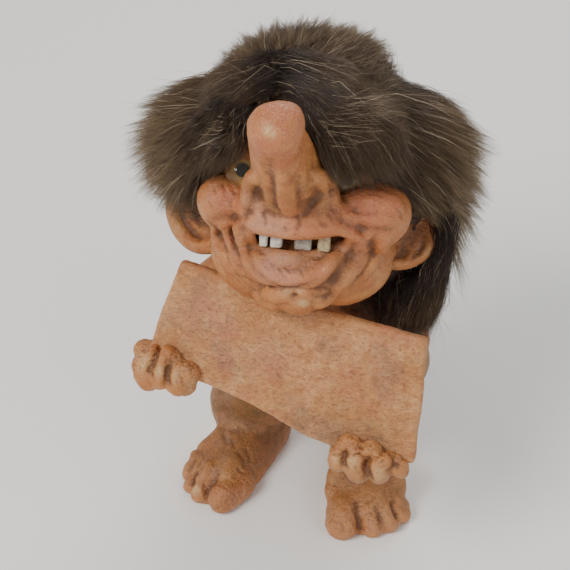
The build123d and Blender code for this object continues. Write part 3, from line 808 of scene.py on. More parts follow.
ROLLS_ON_SIGN = {
    "body_skin": [
        (3.5, 4.2, ((157, 346), (148, 353), (143, 364), (146, 377), (156, 387))),
        (3.3, 5.0, ((172, 345), (168, 354), (163, 365), (160, 376), (164, 387))),
        (3.4, 4.6, ((187, 362), (180, 367), (177, 375), (178, 385), (185, 392))),
        (2.9, 3.8, ((342, 448), (338, 455), (337, 462), (342, 469))),
        (3.5, 4.8, ((362, 444), (355, 452), (354, 462), (358, 471), (365, 479))),
        (3.5, 5.0, ((383, 450), (379, 459), (380, 470), (379, 481))),
        (3.0, 3.8, ((397, 457), (401, 466), (398, 476))),
    ],
}

# Pulls with the fingers: mark, radius in millimetres, and how far right and down in the photo

FACE_PULLS = [
    (285, 112, 15, -3.2, 4), (197, 202, 10, 7, -1), (214, 177, 9, 2, 9), (386, 186, 10, -1, 9),
    (294, 306, 8, 0, -5), (209, 236, 9, 3, 0), (266, 110, 5, -1, -1), (297, 112, 6, 3, -4),
    (311, 150, 7, -9, 0), (318, 166, 6, -8, 0),
]
BODY_PULLS = [
    (348, 438, 5.5, 2, 8), (372, 436, 5.5, 0, 10), (392, 446, 5, -2, 6), (144, 345, 5, 5, 3),
    (183, 352, 5, -4, 2), (190, 366, 4, -3, 0), (226, 505, 8, -2, -7), (181, 467, 7, 8, 1),
    (237, 505, 6, -6, -5), (335, 488, 4, -5, 0), (396, 488, 4, 6, 0), (404, 505, 5, -5, 2),
    (430, 334, 10, -9, 2), (424, 350, 10, -9, 0),
]

# Places stroked smooth: mark, radius in millimetres and strokes

FACE_MELTS = [
    (336, 210, 5, 40), (240, 208, 4, 30), (345, 262, 5, 20),
]
BODY_MELTS = [
    (230, 404, 9, 90), (226, 428, 8, 90), (214, 446, 7, 60), (366, 496, 8, 60), (338, 488, 5, 30),
    (396, 488, 5, 30),
]

# Strokes of a modelling tool: width and depth in millimetres, then marks

FACE_CREASES = [
    (1.3, 0.9, ((272, 157), (269.6, 170), (273, 181), (273, 194), (276, 206), (282, 213))),
    (0.7, 0.4, ((262, 162), (264, 169), (266.5, 176))),
    (0.6, 0.35, ((266.5, 172), (269, 177), (272.7, 182))),
    (1.1, 0.6, ((297, 170), (299, 180), (300, 197), (303, 212))),
    (2.2, 1.4, ((258, 186), (259, 195), (264, 203))),
    (2.4, 1.6, ((308, 197), (312, 202), (316, 206))),
    (1.0, 0.5, ((304, 192), (312, 190), (321, 194))),
    (1.2, 0.7, ((327.8, 182), (332.4, 194), (331, 207), (336, 214))),
    (1.3, 0.8, ((250, 196), (251, 203), (249.7, 211), (242, 220))),
    (1.3, 0.9, ((207.6, 217), (216, 220), (229.8, 217.5), (242, 220))),
    (1.2, 0.9, ((240.5, 223), (243.6, 234), (249, 246), (250, 258), (255, 270), (268, 283))),
    (1.0, 0.7, ((213, 223), (217.6, 232.4), (220.6, 243))),
    (1.2, 0.8, ((229.8, 224.7), (234.4, 237), (237.5, 250.7), (243, 264))),
    (0.8, 0.4, ((222, 232), (226, 246), (233, 259), (242, 272))),
    (1.4, 1.1, ((334, 216), (342, 221), (352.3, 225.8), (366, 229.3), (387.5, 230),
                (401.3, 226.3))),
    (1.2, 0.9, ((381.3, 231), (373.7, 238.5), (368, 249))),
    (1.5, 1.1, ((355.3, 233.9), (353.8, 244.6), (348.5, 257), (340.5, 269), (330, 280),
                (314, 288))),
    (1.8, 1.1, ((362, 250), (352, 262), (343, 271), (335.4, 283), (327.8, 296.7), (317, 306))),
    (1.1, 0.8, ((255.8, 270.6), (269.6, 283), (288, 287), (306.3, 285), (322, 278))),
    (0.9, 0.5, ((268, 284), (284, 292), (300, 293))),
    (0.5, 0.35, ((275.7, 267.6), (281, 271), (284.9, 276.8), (288, 281.3))),
    (0.5, 0.3, ((262, 262), (266, 268), (270, 270))),
    (0.45, 0.3, ((284, 266), (287, 271), (292, 273))),
    (0.45, 0.3, ((300, 270), (303, 276), (301, 281))),
    (0.5, 0.3, ((291, 262), (290, 268))),
    (0.7, 0.45, ((284, 226), (287, 233))),
    (0.6, 0.35, ((262, 210), (266, 221), (264, 228))),
    (0.6, 0.35, ((296, 214), (299, 223), (297, 231))),
    (0.6, 0.35, ((317, 216), (322, 224), (330, 229))),
    (0.5, 0.3, ((326, 213), (334, 221))),
    (0.5, 0.35, ((221, 182), (225, 190), (226, 197))),
    (0.5, 0.35, ((213, 187), (217, 195), (218, 203))),
    (0.5, 0.3, ((229, 184), (233, 191), (236, 195))),
    (0.5, 0.3, ((207, 200), (214, 209))),
    (0.5, 0.3, ((238, 184), (243, 192), (243, 199))),
    (0.5, 0.3, ((350, 210), (362, 214), (376, 213))),
    (0.5, 0.25, ((360, 196), (374, 194), (389, 199))),
    (0.6, 0.3, ((392, 204), (400, 213), (402, 222))),
    (0.5, 0.3, ((225, 262), (234, 276), (246, 288))),
    (0.5, 0.3, ((232, 268), (243, 281), (256, 291))),
    (0.5, 0.3, ((360, 268), (352, 282), (340, 293))),
    (0.5, 0.3, ((372, 256), (366, 268), (355, 281))),
    (0.7, 0.4, ((309, 292), (319, 297), (331, 296))),
]
FACE_RIDGES = [
    (2.6, -0.9, ((246, 216), (256, 224), (272, 229), (297, 231), (320, 230), (340, 228))),
    (2.4, -0.7, ((262, 254), (274, 268), (297, 275), (318, 273), (338, 258))),
    (1.6, -0.5, ((232, 222), (238, 236), (242, 252), (248, 268))),
    (1.8, -0.5, ((372, 232), (362, 246), (352, 264), (338, 284))),
    (1.8, -0.6, ((284, 206), (290, 216), (297, 214))),
    (1.0, -0.4, ((222, 224), (226, 238), (231, 252))),
]
EAR_CREASES = [
    (1.1, 1.0, ((179.7, 207), (184.3, 221), (193.4, 232.5), (203, 240))),
    (0.8, 0.5, ((193, 208), (197, 219), (201, 229))),
    (1.0, 0.8, ((404, 242), (401, 253.5), (392, 262))),
    (0.8, 0.5, ((409, 249), (404, 258), (401, 265))),
    (0.8, 0.5, ((425, 240), (419, 252), (409, 262))),
]
BODY_CREASES = [
    (1.1, 1.5, ((160, 346), (156, 356), (152, 366.5), (151, 374), (155, 384))),
    (1.2, 1.7, ((180, 356), (173, 361), (169, 368), (167.4, 377.6), (169, 385.2), (174, 391))),
    (0.6, 0.45, ((142, 346), (146, 352), (150, 349))),
    (0.6, 0.4, ((138, 356), (144, 358), (150, 356))),
    (0.5, 0.4, ((163, 352), (167, 358), (164, 366))),
    (0.5, 0.35, ((156, 365), (159, 374), (161, 381))),
    (0.6, 0.4, ((174, 364), (180, 361), (185, 363))),
    (0.5, 0.4, ((181, 376), (182, 384))),
    (0.5, 0.4, ((176, 377), (178, 387))),
    (0.5, 0.35, ((171, 379), (173, 387))),
    (1.1, 1.3, ((348.6, 446), (344.5, 455.7), (344, 463), (349, 471))),
    (1.2, 1.6, ((375, 444), (370, 453), (368.8, 461), (367.8, 468.5), (372, 481))),
    (1.2, 1.5, ((391.7, 451), (395.3, 460.3), (394, 472))),
    (0.6, 0.5, ((352.3, 452), (358.7, 447), (365, 451.5))),
    (0.5, 0.4, ((351, 457), (358, 453.5), (365, 458))),
    (0.6, 0.5, ((374.3, 458.4), (378.8, 462), (386, 459.5))),
    (0.5, 0.4, ((373, 464), (380, 467), (388, 464))),
    (0.5, 0.4, ((333, 452), (337, 455), (341, 452))),
    (0.5, 0.3, ((354, 464), (357, 471), (361, 475))),
    (0.5, 0.3, ((377, 471), (379, 478))),
    (1.4, 1.0, ((218.7, 468), (217, 475), (213.3, 482), (208.5, 491), (205.8, 499))),
    (1.2, 0.9, ((205, 463), (199, 471), (193.5, 480), (191, 488))),
    (1.0, 0.7, ((196, 459), (190, 467), (186, 473))),
    (0.5, 0.4, ((213.3, 487), (218.7, 485), (226.3, 487.5), (229.6, 493))),
    (0.6, 0.4, ((203, 483), (204, 492))),
    (1.3, 0.35, ((207.9, 417), (215.5, 424.7), (222, 428.5), (235, 432), (246, 432))),
    (0.8, 0.5, ((222, 432), (225, 439), (228, 446))),
    (0.7, 0.4, ((229, 436), (233, 444), (236, 450))),
    (0.7, 0.4, ((243, 447), (249, 456), (250, 465))),
    (0.7, 0.4, ((236, 467), (243, 473), (250, 472))),
    (1.4, 1.0, ((356.8, 497), (356.8, 510), (358.4, 522), (360, 535))),
    (1.2, 0.9, ((375.5, 502), (378.4, 513), (380.6, 524), (380.8, 535))),
    (1.1, 0.9, ((391, 499), (394.7, 511), (397, 522))),
    (0.6, 0.45, ((340, 523), (343, 529), (343, 534))),
    (0.6, 0.45, ((352, 519), (354.5, 526))),
    (0.6, 0.35, ((331, 513), (338, 517), (348, 515))),
    (0.6, 0.35, ((330, 519), (337, 523), (344, 520))),
    (0.5, 0.35, ((364, 516), (370, 513), (375, 516))),
    (0.5, 0.35, ((383, 517), (388, 514), (393, 519))),
    (0.6, 0.35, ((390, 492), (396, 503), (402, 511))),
    (0.7, 0.4, ((365, 503), (372, 500), (376, 494))),
]
SHOULDER_CREASES = [
    (1.0, 0.5, ((330, 300), (345, 297), (362, 290))),
    (0.8, 0.4, ((340, 306), (352, 310), (366, 308))),
]


# Spots of paint, painted shade and painted highlights: mark, radius in millimetres and strength

HEAD_SPOTS = {
    "rose": [
        (285, 112, 11, 0.9), (270, 140, 9, 0.7), (285, 165, 8, 0.45), (225, 195, 8, 0.8),
        (372, 203, 11, 1.0), (392, 212, 7, 0.6), (300, 228, 8, 0.7), (330, 230, 6, 0.6),
        (290, 280, 8, 0.7), (322, 268, 6, 0.6), (235, 245, 6, 0.5), (362, 240, 5, 0.6),
    ],
    "blush": [
        (262, 222, 5, 0.9), (275, 228, 4.5, 0.7), (272, 268, 5, 0.8), (285, 275, 4, 0.6),
        (215, 188, 4, 0.5), (350, 250, 4, 0.45), (352, 262, 4, 0.4), (262, 212, 4, 0.6),
    ],
    "slate": [
        (300, 256, 4, 0.9), (283, 258, 4, 0.9), (320, 256, 4, 0.8), (268, 250, 3, 0.8),
        (335, 248, 3, 0.7), (232, 250, 3.5, 0.3), (242, 240, 3, 0.3), (247, 200, 3.5, 0.5),
    ],
    # painted shade on the nostril wings, under the nose and by the smile folds, with olive paint
    # round the left eye
    "moss_and_painted_shade": [
        (262, 192, 4.5, 0.9), (275, 208, 3.5, 0.7), (312, 200, 4, 0.7), (322, 208, 3.5, 0.5),
        (305, 188, 3.5, 0.5), (335, 275, 4, 0.5), (326, 292, 4, 0.4), (240, 176, 5, 0.7),
        (205, 222, 4, 0.4),
    ],
    # painted highlights on the nose tip, the chin and the ear rims
    "cream_and_painted_highlight": [
        (268, 131, 1.5, 1.0), (272, 134, 1.2, 0.9), (303, 303, 1.8, 0.9), (288, 292, 2.0, 0.5),
        (299, 290, 1.4, 0.6), (425, 252, 3, 0.4), (176, 224, 3, 0.4),
    ],
    # painted shade in the nostrils, the smile folds, the ear hollows and beside the cheeks, and
    # painted shadow of the hair over the right cheek and eye
    "painted_shade_umber": [
        (260, 195, 2.2, 0.7), (311, 202, 2.4, 0.7), (345, 262, 3.5, 0.6), (338, 276, 3.5, 0.5),
        (385, 188, 7, 0.15), (183, 225, 6, 0.5), (212, 224, 2.5, 0.7), (218, 212, 2.5, 0.5),
        (380, 262, 3, 0.3), (393, 262, 4, 0.6), (345, 190, 9, 0.6), (405, 240, 4, 0.6),
        (411, 236, 5, 0.7), (195, 215, 5, 0.6),
    ],
    "polish": [
        (275, 115, 9, 1.0), (290, 150, 8, 0.5), (222, 190, 6, 0.5), (372, 198, 7, 0.4),
    ],
}
BODY_SPOTS = {
    "slate": [
        (225, 440, 4, 0.8), (230, 455, 4, 0.6), (350, 485, 5, 0.6), (217, 472, 3, 0.7),
    ],
    # pale paint with painted highlights on the fingertips and a toe
    "cream_and_painted_highlight": [
        (144, 364, 3.5, 0.8), (160, 372, 2.5, 0.8), (174, 376, 2.5, 0.8), (351, 461, 3, 0.8),
        (337, 458, 2.5, 0.7), (378, 473, 3, 0.8), (195, 489, 2.2, 1.0),
    ],
    "rose": [
        (343, 532, 4, 0.6), (370, 530, 3, 0.8), (390, 528, 3, 0.6), (222, 495, 4, 0.5),
    ],
    # painted shade between the fingers, on the leg's far side and the feet, and a painted shadow on
    # the shoulder under the chin and hair
    "painted_shade_umber": [
        (248, 459, 5, 0.7), (266, 444, 7, 0.8), (190, 366, 3.5, 0.9), (176, 352, 3, 0.7),
        (397, 464, 3, 0.9), (366, 470, 2, 0.8), (360, 448, 2, 0.5), (384, 452, 2.5, 0.5),
        (262, 425, 6, 0.5), (384, 318, 14, 0.9), (366, 304, 12, 0.9), (345, 312, 10, 0.8),
        (318, 495, 9, 0.4), (390, 495, 9, 0.4),
    ],
}
SIGN_SPOTS = {
    # painted shade along the sign's lower edge by the hand and under the chin
    "moss_and_painted_shade": [
        (335, 432, 7, 0.5), (370, 440, 6, 0.5), (300, 425, 6, 0.4), (240, 285, 6, 0.4),
    ],
    "blush": [
        (206, 313, 10, 0.35), (266, 354, 8, 0.35),
    ],
}
CHIN_PIT = (294, 297)


def model_head():
    clay = Clay(cast_skin("head_skin"))
    clay.grab(FACE_PULLS)
    clay.melt(FACE_MELTS)
    clay.push(0.35 * lumps(clay.points, 9.0, 3, 3) + 0.12 * lumps(clay.points, 2.6, 5))
    clay.carve(FACE_RIDGES)
    strokes = FACE_CREASES + EAR_CREASES
    lines = clay.carve(strokes)
    (chin,) = clay.on_surface([CHIN_PIT])
    rim = clay.dab(chin, 3.2) - clay.dab(chin, 1.6)
    clay.push(-1.6 * clay.dab(chin, 1.3) + 0.5 * rim)
    crackle = cracks(clay.points, 1.5, 21, 0.09)
    clay.push(0.10 * crackle + 0.07 * lumps(clay.points, 1.1, 9, 1))
    thin_out(clay, TRIANGLES["head_skin"])
    ink = ink_along(clay, strokes, lines, INK_REACH["head_skin"])
    paint_coats(clay, HEAD_SPOTS, {}, np.maximum(ink, 1.2 * clay.dab(chin, 1.2)))
    return clay


def model_body():
    clay = Clay(cast_skin("body_skin"))
    clay.grab(BODY_PULLS)
    clay.melt(BODY_MELTS)
    for _ in range(2):
        clay.fillet(1 - fade(horny_places(clay), 0.1, 0.5), *CORNERS)
    clay.push(0.35 * lumps(clay.points, 8.0, 33, 3) + 0.14 * lumps(clay.points, 2.8, 35))
    strokes = BODY_CREASES + SHOULDER_CREASES
    lines = clay.carve(strokes)
    horny = horny_places(clay)
    crackle = cracks(clay.points * (1, 1, 1.7), 1.7, 41, 0.12)
    clay.push((0.06 + 0.34 * horny) * crackle + (0.04 + 0.28 * horny) * lumps(clay.points, 1.5, 43))
    thin_out(clay, TRIANGLES["body_skin"])
    clay.points[:, 2] = np.maximum(clay.points[:, 2], 0)
    clay.store()
    ink = ink_along(clay, strokes, lines, INK_REACH["body_skin"])
    paint_coats(clay, BODY_SPOTS, body_fields(clay), ink)
    return clay


def horny_places(clay):
    """1 on the hands and the front of the feet, where the skin is as rough as bark."""
    p = clay.points
    rough = np.zeros(len(p))
    for name in ("hand_left", "hand_right"):
        low, high = (np.array(c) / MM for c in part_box(name))
        outside = np.maximum(low - p, p - high).max(1)
        rough = np.maximum(rough, fade(-outside, -1.5, 1.5))
    return np.maximum(rough, 0.6 * fade(-p[:, 1], 12, 24) * fade(-p[:, 2], -15, -9))


def body_fields(clay):
    """Moss and slate up the legs, pale horny skin, and rosy polished toes."""
    p = clay.points
    horny = horny_places(clay)
    limb = fade(-p[:, 2], -62, -48) * (0.62 * fade(p[:, 2], 1, 6) + 0.38 * fade(p[:, 2], 14, 26))
    patch = 0.5 + 0.5 * lumps(p, 9.0, 51)
    return {
        "moss_and_painted_shade": np.clip(limb * (0.55 + 0.7 * patch), 0, 1) * (1 - horny),
        "slate": 0.25 * patch * limb,
        "cream_and_painted_highlight": 0.45 * horny * patch,
        "rose": 0.3 * fade(-p[:, 1], 20, 30) * fade(-p[:, 2], -14, -8),
        "polish": 0.35 * fade(-p[:, 1], 26, 34) * fade(-p[:, 2], -12, -6),
    }


SIGN_PULLS = [
    (268, 424, 9, 0, 5), (232, 402, 8, 0, 2), (300, 338, 8, 0, -2),
]
SIGN_MARKS = [
    (0.5, 0.25, ((253, 357), (256, 363))),
    (0.5, 0.25, ((276, 369), (279, 376), (282, 372))),
    (0.5, 0.25, ((243, 374), (246, 381))),
    (0.4, 0.2, ((345, 375), (352, 372), (358, 378))),
    (0.4, 0.2, ((350, 388), (357, 384), (362, 390))),
    (0.4, 0.2, ((300, 345), (305, 352))),
    (0.4, 0.2, ((228, 316), (226, 326))),
    (0.4, 0.2, ((330, 400), (342, 397))),
    (0.5, 0.3, ((283, 421), (290, 429))),
    (0.5, 0.3, ((290, 419), (299, 430))),
    (0.5, 0.3, ((297, 421), (305, 431))),
    (0.5, 0.3, ((244, 401), (250, 406))),
]


def model_sign():
    clay = Clay(cast_skin("sign_slab"))
    clay.grab(SIGN_PULLS)
    clay.push(0.42 * lumps(clay.points, 13.0, 61) + 0.16 * lumps(clay.points, 3.2, 63))
    clay.carve(SIGN_MARKS)
    scratches = cracks(clay.points * (1, 1, 2.6), 2.2, 65, 0.08)
    clay.push(0.17 * scratches + 0.11 * lumps(clay.points, 1.3, 67))
    thin_out(clay, TRIANGLES["sign_slab"])
    blotches = {  # strength, width in millimetres, seed and the span of the field that shows
        "slate": (0.6, 9.0, 71, 0.0, 0.5),
        "rose": (0.6, 8.0, 73, 0.0, 0.5),
        "cream_and_painted_highlight": (0.35, 6.0, 75, 0.1, 0.6),
    }
    fields = {
        label: strength * fade(lumps(clay.points, width, seed, 3), low, high)
        for label, (strength, width, seed, low, high) in blotches.items()
    }
    paint_coats(clay, SIGN_SPOTS, fields)
    return clay


SKIN_PAINT = latex_paint(
    "hand_painted_latex",
    base=colour(192, 117, 60),
    light=colour(212, 141, 78),
    deep=colour(176, 99, 50),
    wash=colour(110, 66, 36),
    gloss=0.38,
    relief=0.32,
)
SIGN_PAINT = latex_paint(
    "brushed_sign_paint",
    base=colour(220, 152, 92),
    light=colour(236, 172, 114),
    deep=colour(190, 114, 68),
    wash=colour(110, 76, 54),
    gloss=0.62,
    relief=0.42,
    crease=0.5,
    scratch=1.0,
)

head = model_head()
body = model_body()
slab = model_sign()
finish_skin(head.piece, SKIN_PAINT, SKIN_NODES["head_skin"])
finish_skin(body.piece, SKIN_PAINT, SKIN_NODES["body_skin"])
finish_skin(slab.piece, SIGN_PAINT, SKIN_NODES["sign_slab"])


# Eyes and wire keep the CAD nodes' shapes and get their paint. The teeth are worn copies.


def glass_material():
    made, tree, shader = new_material("eye_glass_clear")
    smear = noise(tree, object_place(tree), 900.0, 2.0)
    finish = {
        "Base Color": blend(tree, smear, (1.0, 0.96, 0.86, 1), (0.96, 0.93, 0.82, 1)),
        "Roughness": times_plus(tree, smear, 0.05, 0.01),
        "Transmission Weight": 1.0,
        "IOR": 1.33,
        "Specular IOR Level": 0.3,
    }
    fill(tree, shader, finish)
    return made


def iris_material(name, disc):
    """A dark pupil, an amber and olive iris with fine rays, and a black rim."""
    made, tree, shader = new_material(name)
    away = {0: object_place(tree), 1: tuple(middle(disc))}
    centred = node(tree, "ShaderNodeVectorMath", away, operation="SUBTRACT").outputs[0]
    off = node(tree, "ShaderNodeVectorMath", {0: centred}, operation="LENGTH").outputs["Value"]
    rays = noise(tree, centred, 1800.0, 3.0, 0.7)
    iris = blend(tree, rays, colour(214, 164, 74, 1.0), colour(120, 104, 46, 1.0))
    for start, end, tone in (
        (0.0022, 0.0032, colour(176, 112, 44, 1.0)),
        (0.0040, 0.0047, colour(20, 14, 10)),
        (0.0018, 0.0014, colour(8, 7, 6)),
    ):
        iris = blend(tree, between(tree, off, start, end), iris, tone)
    fill(tree, shader, {"Base Color": iris, "Roughness": 0.35})
    return made


def wire_material():
    made, tree, shader = new_material("eye_wire_steel")
    drawn = noise(tree, object_place(tree), 3000.0, 2.0)
    finish = {
        "Base Color": blend(tree, drawn, colour(150, 150, 148), colour(110, 108, 104)),
        "Roughness": times_plus(tree, drawn, 0.2, 0.5),
        "Metallic": 1.0,
    }
    fill(tree, shader, finish)
    return made


def tooth_material(name, light, dark):
    """Stained enamel, darker towards the gum."""
    made, tree, shader = new_material(name)
    place = object_place(tree)
    blotch = use_group(tree, MOTTLING, {"Place": place, "Scale": TOOTH_MOTTLING})
    _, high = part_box("tooth_inner_left")
    height = node(tree, "ShaderNodeSeparateXYZ", {0: place}).outputs["Z"]
    gum = between(tree, height, high.z - 0.0040, high.z - 0.0010)
    enamel = blend(tree, times(tree, blotch["Small"], 0.65), light, dark)
    enamel = blend(tree, times(tree, gum, 0.7), enamel, dark)
    fill(tree, shader, {"Base Color": enamel, "Roughness": 0.3})
    bump(tree, shader, blotch["Speckle"], 0.0001, 0.4)
    return made


def give(material, *names):
    for name in names:
        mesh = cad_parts[name].data
        mesh.materials.clear()
        mesh.materials.append(material)


give(glass_material(), "eye_dome_left", "eye_dome_right")
give(wire_material(), "eye_stem_left", "eye_stem_right")
for side in ("left", "right"):
    give(iris_material("iris_paint_" + side, "eye_disc_" + side), "eye_disc_" + side)

WHITE_TOOTH = tooth_material("tooth_white", colour(234, 226, 212), colour(160, 140, 122))
GREY_TOOTH = tooth_material("tooth_grey", colour(178, 166, 150), colour(120, 100, 86))
YELLOW_TOOTH = tooth_material("tooth_yellow", colour(196, 174, 130), colour(132, 106, 76))


def worn_tooth(name, material, seed):
    """A tooth with soft edges and a lumpy face, over the plain one."""
    piece = copy_of(name)
    piece.name = piece.data.name = name + "_enamel"
    apply_modifier(piece, "REMESH", mode="VOXEL", voxel_size=VOXEL["tooth"] * MM)
    apply_modifier(piece, "SMOOTH", factor=0.5, iterations=SOFTENING["tooth"])
    clay = Clay(piece)
    clay.push(0.10 + 0.16 * lumps(clay.points, 1.8, seed))
    finish_skin(piece, material, [name])


worn_tooth("tooth_outer_right", WHITE_TOOTH, 81)
worn_tooth("tooth_inner_right", WHITE_TOOTH, 82)
worn_tooth("tooth_inner_left", GREY_TOOTH, 83)
worn_tooth("tooth_outer_left", YELLOW_TOOTH, 84)


# Fur

WIG_SEED = 7
TUFT_SEED = 11
HAIR_COUNT = 66000
CLUMPS = 2200  # locks that the hairs gather in
MESSY_SHARE = 0.22
STRAY_SHARE = 0.035
STRAY_REACH = 9.0  # millimetres that a hair may end past the CAD box
HAIR_SIDE = np.array([0.31, 0.17, 0.93])  # any way that no hair runs along
HAIR_TAPER = 0.75
WIG_RINGS = 3
SKIN_REACH = 0.006
SKIN_GAP = 0.7  # millimetres that the wig's hairs stay off the skin
LOCK_GAP = 0.8
EAR_COVER = 12  # millimetres behind the ear's middle from which a hair counts as over it
PELT_SHARE = 0.4  # how much of the hair's height is thick under-fur
PELT_SINK = 0.6
TUFT_HAIRS = 2600
PER_PIECE = 11000
BLOCK = 4000  # places compared at a time
PARTING_MARK = (283, 90)
FLOW_DEGREES = 24.0  # how far upstream of its tip a hair is rooted
HANG = np.array([-1.0, -2.5, -12.0])  # millimetres that the fur beside the left ear hangs lower
# Where the fur is cut shorter: mark, reach in the photo and how much less of its length
TRIMS = [
    (418, 70, 34, 0.42), (440, 92, 26, 0.2), (196, 78, 26, 0.25),
]
BARE_EAR = [
    (398, 217), (426, 222), (440, 232), (437, 250), (423, 265), (405, 279), (382, 276), (386, 250),
]
EAR_MARK = (408, 250)


def fur_material(name, root, mid, tip, pale):
    """Fur that runs from root to tip in three colours. A tint near 1 makes a hair pale."""
    made, tree, shader = new_material(name)
    along = attribute(tree, "along")
    tint = attribute(tree, "tint")
    coat = blend(tree, between(tree, along, 0.10, 0.62), root, mid)
    far = times(tree, between(tree, along, 0.55, 1.0), attribute(tree, "bright"))
    coat = blend(tree, far, coat, tip)
    coat = blend(tree, between(tree, tint, 0.93, 0.99), coat, pale)
    shade = times_plus(tree, tint, 0.7, 0.62)
    grey = node(tree, "ShaderNodeCombineColor", {0: shade, 1: shade, 2: shade}).outputs[0]
    coat = blend(tree, 1.0, coat, grey, "MULTIPLY")
    fill(tree, shader, {"Base Color": coat, "Roughness": 0.5, "Specular IOR Level": 0.35})
    return made


FUR = fur_material(
    "fur_strands_brown",
    root=colour(50, 38, 31),
    mid=colour(94, 73, 56),
    tip=colour(172, 144, 104),
    pale=colour(186, 166, 138),
)


def under_material():
    """Dense under-fur: dark, with fine streaks."""
    made, tree, shader = new_material("under_fur_dark")
    drawn = stretched(tree, object_place(tree), (1.0, 1.0, 0.35))
    streak = noise(tree, drawn, 1500.0, 4.0, 0.7, 0.5)
    coat = blend(tree, streak, colour(60, 45, 36), colour(100, 78, 60))
    fill(tree, shader, {"Base Color": coat, "Roughness": 0.8})
    bump(tree, shader, streak, 0.0012, 1.0)
    return made


UNDER_FUR = under_material()


def points_of(name):
    """A CAD node's points in millimetres and its triangles."""
    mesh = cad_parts[name].data
    flat = np.empty(len(mesh.vertices) * 3, np.float32)
    mesh.vertices.foreach_get("co", flat)
    corners = np.empty(len(mesh.loops), np.int32)
    mesh.loops.foreach_get("vertex_index", corners)
    return flat.reshape(-1, 3).astype(float) / MM, corners.reshape(-1, 3)


def tree_of(name):
    points, faces = points_of(name)
    return BVHTree.FromPolygons(points.tolist(), faces.tolist())


def scattered(points, faces, keep, count, random):
    """Random places on the kept faces, as many per area everywhere."""
    a, b, c = (points[faces[keep, k]] for k in range(3))
    area = np.linalg.norm(np.cross(b - a, c - a), axis=1)
    pick = random.choice(len(a), count, p=area / area.sum())
    u, v = random.random(count), random.random(count)
    flip = u + v > 1
    u[flip], v[flip] = 1 - u[flip], 1 - v[flip]
    return a[pick] + (b[pick] - a[pick]) * u[:, None] + (c[pick] - a[pick]) * v[:, None]


def unit(vectors):
    return vectors / np.maximum(np.linalg.norm(vectors, axis=1), 1e-9)[:, None]


def hair_lines(roots, knees, tips, rings):
    """Each hair's places from root to tip, bent through its knee: rings + 1 by hairs by 3."""
    t = np.linspace(0, 1, rings + 1)[:, None, None]
    return (1 - t) ** 2 * roots + 2 * t * (1 - t) * knees + t**2 * tips


def lock_lines(marks, rings):
    """Each hair's places along a smooth curve through its four marks: rings + 1 by hairs by 3."""
    a, b, c, d = marks.transpose(1, 0, 2)
    t = np.linspace(0, 1, rings + 1)[:, None, None]
    one, two = (18 * b - 5 * a - 9 * c + 2 * d) / 6, (18 * c - 5 * d - 9 * b + 2 * a) / 6
    return (1 - t) ** 3 * a + 3 * t * (1 - t) ** 2 * one + 3 * t**2 * (1 - t) * two + t**3 * d


def hair_faces(rings, count):
    """The triangles of count hairs, each a three-sided tube of so many rings and a pointed tip."""
    each = rings * 3 + 1
    faces = [(2, 1, 0)]
    for ring in range(rings - 1):
        for k in range(3):
            a, b = ring * 3 + k, ring * 3 + (k + 1) % 3
            faces += [(a, b, b + 3), (a, b + 3, a + 3)]
    last = (rings - 1) * 3
    faces += [(last + k, last + (k + 1) % 3, each - 1) for k in range(3)]
    return (np.array(faces)[None] + (np.arange(count) * each)[:, None, None]).reshape(-1, 3)


def strands(name, line, width, tint, bright, material):
    """Tapered three-sided hairs along the lines, as one closed mesh."""
    rings, count = line.shape[0] - 1, line.shape[1]
    t = np.linspace(0, 1, rings + 1)[:rings, None, None]
    run = np.gradient(line, axis=0)
    run = run / np.maximum(np.linalg.norm(run, axis=2, keepdims=True), 1e-9)
    aside = np.cross(run, HAIR_SIDE)
    aside = aside / np.maximum(np.linalg.norm(aside, axis=2, keepdims=True), 1e-6)
    over = np.cross(run, aside)[:rings]
    aside = aside[:rings]
    thick = width[None, :, None] * (1 - HAIR_TAPER * t**1.5)
    turns = np.arange(3) * 2 * np.pi / 3
    rim = [line[:rings] + thick * (aside * np.cos(a) + over * np.sin(a)) for a in turns]
    tube = np.stack(rim, 2).transpose(1, 0, 2, 3).reshape(count, rings * 3, 3)
    points = np.concatenate([tube, line[rings][:, None, :]], 1)
    mesh = bpy.data.meshes.new(name)
    mesh.from_pydata(points.reshape(-1, 3) * MM, [], hair_faces(rings, count))
    each = rings * 3 + 1
    fields = {
        "along": np.tile(np.append(np.repeat(t, 3), 1.0), count),
        "tint": np.repeat(tint, each),
        "bright": np.repeat(bright, each),
    }
    for label, field in fields.items():
        layer = mesh.attributes.new(label, "FLOAT", "POINT")
        layer.data.foreach_set("value", field.astype(np.float32))
    mesh.materials.append(material)
    mesh.shade_smooth()
    piece = new_object(name, mesh)
    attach(piece, "root")
    return piece


def head_centre():
    """The middle of the head in millimetres, one scalp radius in from the wig's back and top."""
    low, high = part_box("wig_backing")
    middle_x, radius = (low.x + high.x) / 2, SCALP_RADIUS * MM
    return np.array([middle_x, high.y - radius, high.z - radius]) / MM


def parting():
    """The way from the head's middle to the place that the fur is brushed away from."""
    centre = head_centre()
    start, way = np.array(EYE_POINT) / MM, np.array(sight(*PARTING_MARK))
    off = start - centre
    half = off @ way
    near = -half - math.sqrt(half * half - off @ off + SCALP_RADIUS**2)
    return (off + way * near) / SCALP_RADIUS


def upstream(out, crown, degrees):
    """Each direction turned towards the parting by its angle, but never past it."""
    ahead = unit(crown - out * (out @ crown)[:, None] + 1e-6)
    gap = np.arccos(np.clip(out @ crown, -1, 1))
    turn = np.minimum(np.radians(degrees), 0.65 * gap)[:, None]
    return unit(out * np.cos(turn) + ahead * np.sin(turn))


